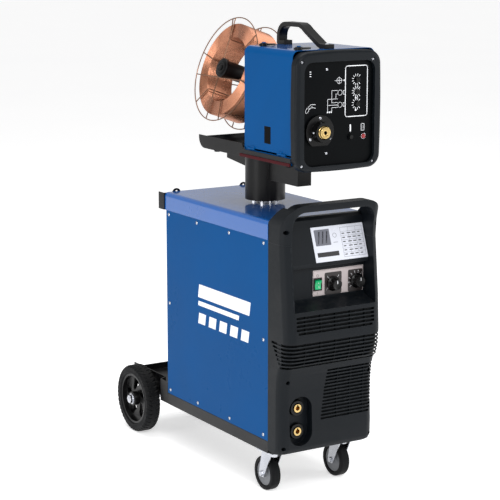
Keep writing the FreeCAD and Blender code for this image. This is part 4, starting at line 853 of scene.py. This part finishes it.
def wire_winding():
    """Turns of wire side by side: every face of the winding is ribbed at the wire's pitch."""
    middle, axis = spool_axis()
    inner, outer, half = WIND_IN, WIND_OUT, 45.4 * MM
    bump = WIRE_PITCH * 0.34
    profile = []
    runs = (((outer, -half), (outer, half), (1, 0)), ((outer, half), (inner, half), (0, 1)),
            ((inner, half), (inner, -half), (-1, 0)), ((inner, -half), (outer, -half), (0, -1)))
    for start, end, out in runs:
        start, end, out = Vector(start), Vector(end), Vector(out)
        count = max(1, round((end - start).length / WIRE_PITCH))
        for i in range(count):
            for t in (0.0, 0.25, 0.5, 0.75):
                dip = bump * (1 - math.sin(math.pi * t))
                profile.append(start.lerp(end, (i + t) / count) - out * dip)
    bm = bmesh.new()
    turned(bm, profile, middle, axis, steps=144, closed=True)
    show("wound_wire", bm, "copper_wire", "spool", ["wire_winding"])


def spool_basket():
    """Wire basket: a ring a side, U-shaped wires, and two bent wires past the hub."""
    middle, axis = spool_axis()
    rear = Vector((0, 1, 0))
    rise = -axis.cross(rear)
    wire_r = 1.7 * MM

    def place(r, angle, along):
        a = math.radians(angle)
        return middle + rear * r * math.cos(a) + rise * r * math.sin(a) + axis * along

    bm = bmesh.new()
    for k in range(SPOKES):
        a = SPOKE_START + 360 * k / SPOKES
        bent = []
        for s in (-1, 1):
            leg = [place(BASKET_R, a, s * BASKET_HALF),
                   place(BASKET_IN + 8 * MM, a, s * BASKET_HALF),
                   place(BASKET_IN + 2.4 * MM, a, s * (BASKET_HALF - 1 * MM)),
                   place(BASKET_IN, a, s * (BASKET_HALF - 6 * MM))]
            bent += leg if s < 0 else leg[::-1]
        wire(bm, bent, wire_r)
    offset = 27.4 * MM
    reach = math.sqrt(BASKET_R ** 2 - offset ** 2)
    for s in (-1, 1):
        ring = [place(BASKET_R, 360 * k / 96, s * BASKET_HALF) for k in range(96)]
        wire(bm, ring, wire_r, closed=True)
        out = middle + axis * s * BASKET_HALF
        for aside, along in ((rear, rise), (-rise, rear)):
            chord = [out + aside * offset + along * v * reach for v in (-1, -0.3, 0.3, 1)]
            wire(bm, chord, wire_r)
    show("wire_basket", bm, "basket_wire", "spool", ["spool_basket"])


def hub_nut():
    """Stepped nut with a bolt in its middle, on the end of the spool's hub."""
    middle, axis = spool_axis()
    profile = [(0, -1 * MM), (22 * MM, -1 * MM), (22 * MM, 1.6 * MM), (20.5 * MM, 2.4 * MM),
               (15 * MM, 2.4 * MM), (14 * MM, 0.8 * MM), (9 * MM, 0.8 * MM), (8.4 * MM, 3.4 * MM),
               (5 * MM, 3.8 * MM), (0, 3.8 * MM)]
    bm = bmesh.new()
    turned(bm, profile, middle + axis * HUB_END, axis, steps=48)
    show("hub_nut", bm, "black_plastic", "feeder")


# ---- printing on the welder ---------------------------------------------------------------
def side_graphic(side):
    """Plain white bars on each flank, where a maker's decoration would be."""
    low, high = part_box("side_panel_" + side)
    s = -1 if side == "left" else 1
    x = low.x if s < 0 else high.x
    origin = Vector((x, (low.y + high.y) / 2, (low.z + high.z) / 2))
    decoration = Print(origin, right=(0, s, 0), up=(0, 0, 1))
    length = high.y - low.y
    slant = 0.18

    def slanted(u0, u1, v0, v1):
        shift = slant * (v1 - v0)
        decoration.area([(u0, v0), (u1, v0), (u1 + shift, v1), (u0 + shift, v1)])

    slanted(-0.17 * length, 0.33 * length, 0.035, 0.075)
    slanted(-0.17 * length, 0.23 * length, 0.010, 0.024)
    for k in range(5):
        slanted((-0.17 + 0.105 * k) * length, (-0.10 + 0.105 * k) * length, -0.045, -0.012)
    decoration.show("side_graphic_" + side, WHITE_INK, "cart", "label_white")


def info_label():
    """White information label on the sloping wall: emblem block, bar, and a small table."""
    low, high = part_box("info_plate")
    foot = Vector((low.x, low.y, low.z + 0.33 * MM))
    rise = Vector((0, high.y - low.y - 0.95 * MM, high.z - foot.z))
    width, tall = high.x - low.x, rise.length
    dark = Print(foot, up=rise)
    grey = Print(foot, up=rise)
    grey.rounded(0.05 * width, 0.34 * width, 0.46 * tall, 0.92 * tall, 2 * MM)
    for k in range(3):
        left = (0.09 + 0.075 * k) * width
        dark.area([(left, 0.52 * tall), (left + 4 * MM, 0.52 * tall),
                   (left + 12 * MM, 0.86 * tall), (left + 8 * MM, 0.86 * tall)])
    dark.block(0.05 * width, 0.46 * width, 0.14 * tall, 0.27 * tall)
    grey.frame(0.55 * width, 0.97 * width, 0.08 * tall, 0.92 * tall, 0.7 * MM)
    for k in range(1, 7):
        v = (0.08 + 0.12 * k) * tall
        grey.line([(0.55 * width, v), (0.97 * width, v)], 0.5 * MM)
        for i in range(4):
            start = 0.57 + 0.10 * i
            reach = 0.05 + 0.02 * ((i * 5 + k * 3) % 3) / 2
            dark.block(start * width, (start + reach) * width, v - 6.6 * MM, v - 4.0 * MM)
    grey.line([(0.70 * width, 0.08 * tall), (0.70 * width, 0.92 * tall)], 0.5 * MM)
    grey.line([(0.84 * width, 0.08 * tall), (0.84 * width, 0.92 * tall)], 0.5 * MM)
    grey.ring(0.43 * width, 0.72 * tall, 6 * MM, 1.0 * MM)
    grey.line([(0.39 * width, 0.52 * tall), (0.47 * width, 0.52 * tall)], 1.2 * MM)
    dark.show("label_marks", DARK_INK_AND_SHADE, "cart", "label_white")
    grey.show("label_table", GREY_INK, "cart", "label_white")


def control_scales():
    """Dark dial fields with white ticks and numbers, and the marks round the rocker."""
    low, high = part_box("control_plate")
    face = low.y
    fields = Print((0, face, 0))
    white = Print((0, face - 0.3 * MM, 0))
    dark = Print((0, face, 0))
    for node, count in (("coarse_voltage_knob", 4), ("fine_voltage_knob", 10)):
        knob = centre(node)
        right = min(knob.x + 29 * MM, high.x - 1.5 * MM)
        fields.rounded(knob.x - 29 * MM, right, knob.z - 30 * MM, knob.z + 33 * MM, 5 * MM)
        white.ticks(knob.x, knob.z, 21.8 * MM, 24.2 * MM, 215, -250, count, 0.8 * MM)
        for i in range(count):
            a = math.radians(215 - 250 * i / (count - 1))
            u = knob.x + 27.2 * MM * math.cos(a)
            v = knob.z + 28.0 * MM * math.sin(a)
            if u < right - 1.5 * MM:
                white.number(str(i + 1), u, v, 3.4 * MM, 0.55 * MM)
    rocker = centre("power_rocker")
    housing = 18 * MM
    dark.ring(rocker.x, rocker.z + housing + 7 * MM, 3.4 * MM, 0.9 * MM)
    dark.block(rocker.x - 0.5 * MM, rocker.x + 0.5 * MM, rocker.z - housing - 10 * MM,
               rocker.z - housing - 4 * MM)
    edge = 2.2 * MM
    dark.frame(low.x + edge, high.x - edge, low.z + edge, high.z - edge, 0.5 * MM, 4 * MM)
    fields.show("dial_fields", DIAL_INK, "cart", "panel_black")
    white.show("dial_numbers", WHITE_INK, "cart", "label_white")
    dark.show("rocker_marks", DARK_INK_AND_SHADE, "cart", "light_plate")


def rocker_marks():
    """White line and circle on the two halves of the rocker."""
    low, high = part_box("power_rocker")
    middle = (low + high) / 2
    tilt = math.radians(8)
    up = Vector((0, math.sin(tilt), math.cos(tilt)))
    mark = Print((middle.x, low.y + 1.4 * MM, middle.z), up=up)
    mark.block(-0.5 * MM, 0.5 * MM, 4 * MM, 9 * MM)
    mark.ring(0, -6.5 * MM, 2.2 * MM, 0.7 * MM)
    mark.show("rocker_symbols", WHITE_INK, "power_rocker", "label_white")


def feeder_print():
    """White frame, dial scales and simple diagrams on the feeder's front film."""
    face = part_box("torch_flange")[1].y
    torch = centre("torch_core")
    button = centre("inch_button")
    red = centre("alarm_lamp")
    dials = [centre(n) for n in ("dial_top", "dial_middle", "dial_bottom")]
    art = Print((0, face, 0))
    x, z = dials[1].x, dials[1].z
    art.frame(x - 38 * MM, x + 35 * MM, z - 67 * MM, z + 71 * MM, 2.2 * MM, 8 * MM)
    for dial in dials:
        art.ticks(dial.x, dial.z, 10.5 * MM, 16 * MM, 50, 260, 10, 1.5 * MM)
    art.ticks(x, z, 8 * MM, 11 * MM, 0, 330, 12, 1.0 * MM)
    for dial in dials[1:]:
        art.disc(dial.x - 3 * MM, dial.z - 17 * MM, 2.6 * MM)
    wiring_diagram(Print((x, face, z)), dials[0].z - z)
    torch_outline(Print((torch.x - 37 * MM, face, torch.z + 59 * MM)))
    art.block(button.x - 2 * MM, button.x + 2 * MM, button.z + 15 * MM, button.z + 34 * MM)
    art.frame(red.x - 7 * MM, red.x + 3 * MM, red.z + 16 * MM, red.z + 34 * MM, 1.2 * MM)
    art.ring(red.x - 2 * MM, red.z + 25 * MM, 3 * MM, 1.0 * MM)
    for k in range(3):
        dash = z + (47 + 6 * k) * MM
        art.block(torch.x - 30 * MM, torch.x - 25 * MM, dash, dash + 2 * MM)
    art.show("feeder_print", WHITE_INK, "feeder", "label_white")


def wiring_diagram(art, pitch):
    """Simple circuit beside the dials: circles and squares in rows, joined by upright lines."""
    column = 13.5 * MM
    ring = 7 * MM
    tie = pitch / 5
    square, circle, branch, tap, bus = (-42 * MM - column * k for k in range(5))
    entry = circle - ring - 1 * MM
    spool, arm = circle - 3 * MM, ring + 3 * MM
    low, half = -pitch, -pitch / 2
    foot = low + half
    for points in (((spool - 1.4 * arm, pitch), (spool + arm, pitch)),
                   ((spool, pitch - arm), (spool, pitch + arm)),
                   ((square - ring / 2, pitch), (square + ring / 2, pitch)),
                   ((tap, low + tie), (tap, tie), (entry, tie)),
                   ((entry, -tie / 2), (branch, -tie / 2), (branch, half)),
                   ((entry, half), (bus, half), (bus, foot)),
                   ((tap, low + tie), (entry, low + tie)),
                   ((bus, low), (entry, low)),
                   ((tap, foot), (tap, low - tie), (entry, low - tie))):
        art.line(points, 1.0 * MM)
    art.ring(spool, pitch, ring + 1 * MM, 1.2 * MM)
    for row in (0, low):
        art.ring(circle, row, ring, 1.2 * MM)
        art.frame(square - 3 * MM, square + 3 * MM, row - 5 * MM, row + 5 * MM, 1.0 * MM)
    art.disc(square, pitch, 2.4 * MM)
    for k in range(3):
        terminal = bus + 6 * MM * k
        art.block(terminal - 2 * MM, terminal + 2 * MM, foot - 4 * MM, foot)
    art.show("feeder_circuit", WHITE_INK, "feeder", "label_white")


def torch_outline(art):
    """Small line drawing of a bent welding torch: ring, two sides of the neck, trigger."""
    loop = [(8 * math.cos(t), 4.4 * math.sin(t)) for t in (math.pi * k / 8 for k in range(16))]
    art.line([((0.5 * a - 0.86 * b) * MM, (0.86 * a + 0.5 * b) * MM) for a, b in loop],
             1.1 * MM, closed=True)
    for side in (((4, 9), (12, 16), (26, 15)), ((6, 3), (15, 8), (26, 5))):
        art.line([p * MM for p in soften(side, 8)], 1.2 * MM)
    art.block(14.4 * MM, 15.6 * MM, 8 * MM, 11 * MM)
    art.show("feeder_torch_icon", WHITE_INK, "feeder", "label_white")


# ---- smaller visible parts ----------------------------------------------------------------
def grille_shade_sheet(name, node, left, levels):
    """Dark sheet close behind a grille, a painted shade for the inside of the case; levels are heights and
    set-backs in millimetres.
    """
    low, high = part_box(node)
    rear = high.y - 1 * MM
    behind = 4.5 * MM
    bm = bmesh.new()
    rings = []
    for height, setback in levels:
        ring = []
        for skin in (0.0, 0.6 * MM):
            side = high.x - behind - skin
            front = low.y + setback * MM + behind + skin
            path = [(left, front), (side, front), (side, rear)]
            if left < -100 * MM:
                path = [(-side, rear), (-side, front), (side, front), (side, rear)]
            path = soften(path, 38 * MM)
            ring += path if skin == 0.0 else path[::-1]
        rings.append([bm.verts.new((x, y, height * MM)) for x, y in ring])
    for a, b in zip(rings, rings[1:]):
        for k in range(len(a)):
            n = (k + 1) % len(a)
            bm.faces.new([a[k], a[n], b[n], b[k]])
    bm.faces.new(rings[0])
    bm.faces.new(rings[-1])
    show(name, bm, "panel_black", "cart")


def door_window():
    """Smoked pane behind the opening of the feeder door."""
    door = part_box("feeder_door")[0]
    opening = next(o for o in RECORD["physics"]["openings"] if o["name"] == "door_window")
    low, high = opening["box_m"]
    margin = 3.5 * MM
    bm = bmesh.new()
    inside = door.x + 4.6 * MM
    pane = rectangle(low[1] - margin, high[1] + margin, low[2] - margin, high[2] + margin)
    prism(bm, soften(pane, 2 * MM, closed=True), 0, inside, inside + 1.2 * MM)
    bevel(bm, 0.2 * MM)
    show("door_pane", bm, "black_plastic", "feeder_door", material=WINDOW)


def build_pieces():
    tint_mixed_nodes()
    for side in ("left", "right"):
        rear_wheel(side)
        caster_wheel(side)
        side_graphic(side)
    for node in ("coarse_voltage_knob", "fine_voltage_knob"):
        selector_knob(node)
    casing_screws()
    feeder_screws()
    current_sockets()
    torch_connector()
    lamp()
    wire_winding()
    spool_basket()
    hub_nut()
    info_label()
    control_scales()
    rocker_marks()
    feeder_print()
    door_window()
    # dark sheets that paint the shade behind the grilles
    grille_shade_sheet("screen_upper", "front_bezel_upper", -155 * MM,
                  ((394, 18), (402, 11), (430, 3), (476, 0), (548, 4)))
    grille_shade_sheet("screen_lower", "front_bezel_lower", -30 * MM,
                  ((215, 12), (262, 14), (320, 13), (365, 8), (388, 1)))


build_pieces()


# ---- floor, light and camera --------------------------------------------------------------
def floor():
    """Pale floor that reaches past the horizon of every view."""
    bm = bmesh.new()
    ring = [bm.verts.new((60 * math.cos(a), 60 * math.sin(a), 0))
            for a in (2 * math.pi * k / 96 for k in range(96))]
    bm.faces.new(ring)
    mesh = bpy.data.meshes.new("floor")
    bm.to_mesh(mesh)
    bm.free()
    g = Graph("pale_floor", {"Roughness": 0.7, "Specular IOR Level": 0.1,
                             "Emission Color": (1.0, 1.0, 1.0, 1.0), "Emission Strength": 0.5})
    tone = g.spread(g.noise(0.8, 2.0), 0.3, 0.7)
    g.use(Base_Color=g.mix(tone, srgb(240, 240, 241), srgb(243, 243, 243)))
    mesh.materials.append(g.material)
    plane = bpy.data.objects.new("floor", mesh)
    bpy.context.scene.collection.objects.link(plane)


def area_light(name, place, target, width, height, power):
    data = bpy.data.lights.new(name, "AREA")
    data.shape = "RECTANGLE"
    data.size, data.size_y = width, height
    data.energy = power
    lamp_object = bpy.data.objects.new(name, data)
    lamp_object.location = place
    aim = Vector(target) - Vector(place)
    lamp_object.rotation_euler = aim.to_track_quat("-Z", "Y").to_euler()
    bpy.context.scene.collection.objects.link(lamp_object)


def studio():
    world = bpy.data.worlds.new("studio")
    world.use_nodes = True
    background = world.node_tree.nodes["Background"]
    background.inputs["Color"].default_value = (1.0, 1.0, 1.0, 1.0)
    background.inputs["Strength"].default_value = 0.50
    bpy.context.scene.world = world
    middle = (0, 0, 0.6)
    area_light("key", (-1.6, -4.2, 3.4), middle, 2.4, 1.8, 120)
    area_light("fill", (3.4, -2.6, 1.8), middle, 2.0, 2.4, 60)
    area_light("side", (-4.4, -0.4, 1.6), middle, 2.0, 2.4, 60)
    area_light("top", (0.0, 0.6, 4.6), middle, 3.0, 3.0, 80)
    bpy.context.scene.view_settings.view_transform = "Standard"


EYE = Vector((-2.552, -4.150, 1.596))
AZIMUTH = math.radians(-31.67)
ELEVATION = math.radians(11.10)


def camera():
    data = bpy.data.cameras.new("camera")
    data.sensor_width = 36.0
    data.lens = 118.8
    data.clip_end = 200.0
    eye = bpy.data.objects.new("camera", data)
    back = Vector((math.sin(AZIMUTH) * math.cos(ELEVATION),
                   -math.cos(AZIMUTH) * math.cos(ELEVATION), math.sin(ELEVATION)))
    eye.location = EYE
    eye.rotation_euler = (-back).to_track_quat("-Z", "Y").to_euler()
    bpy.context.scene.collection.objects.link(eye)
    bpy.context.scene.camera = eye


floor()
studio()
camera()
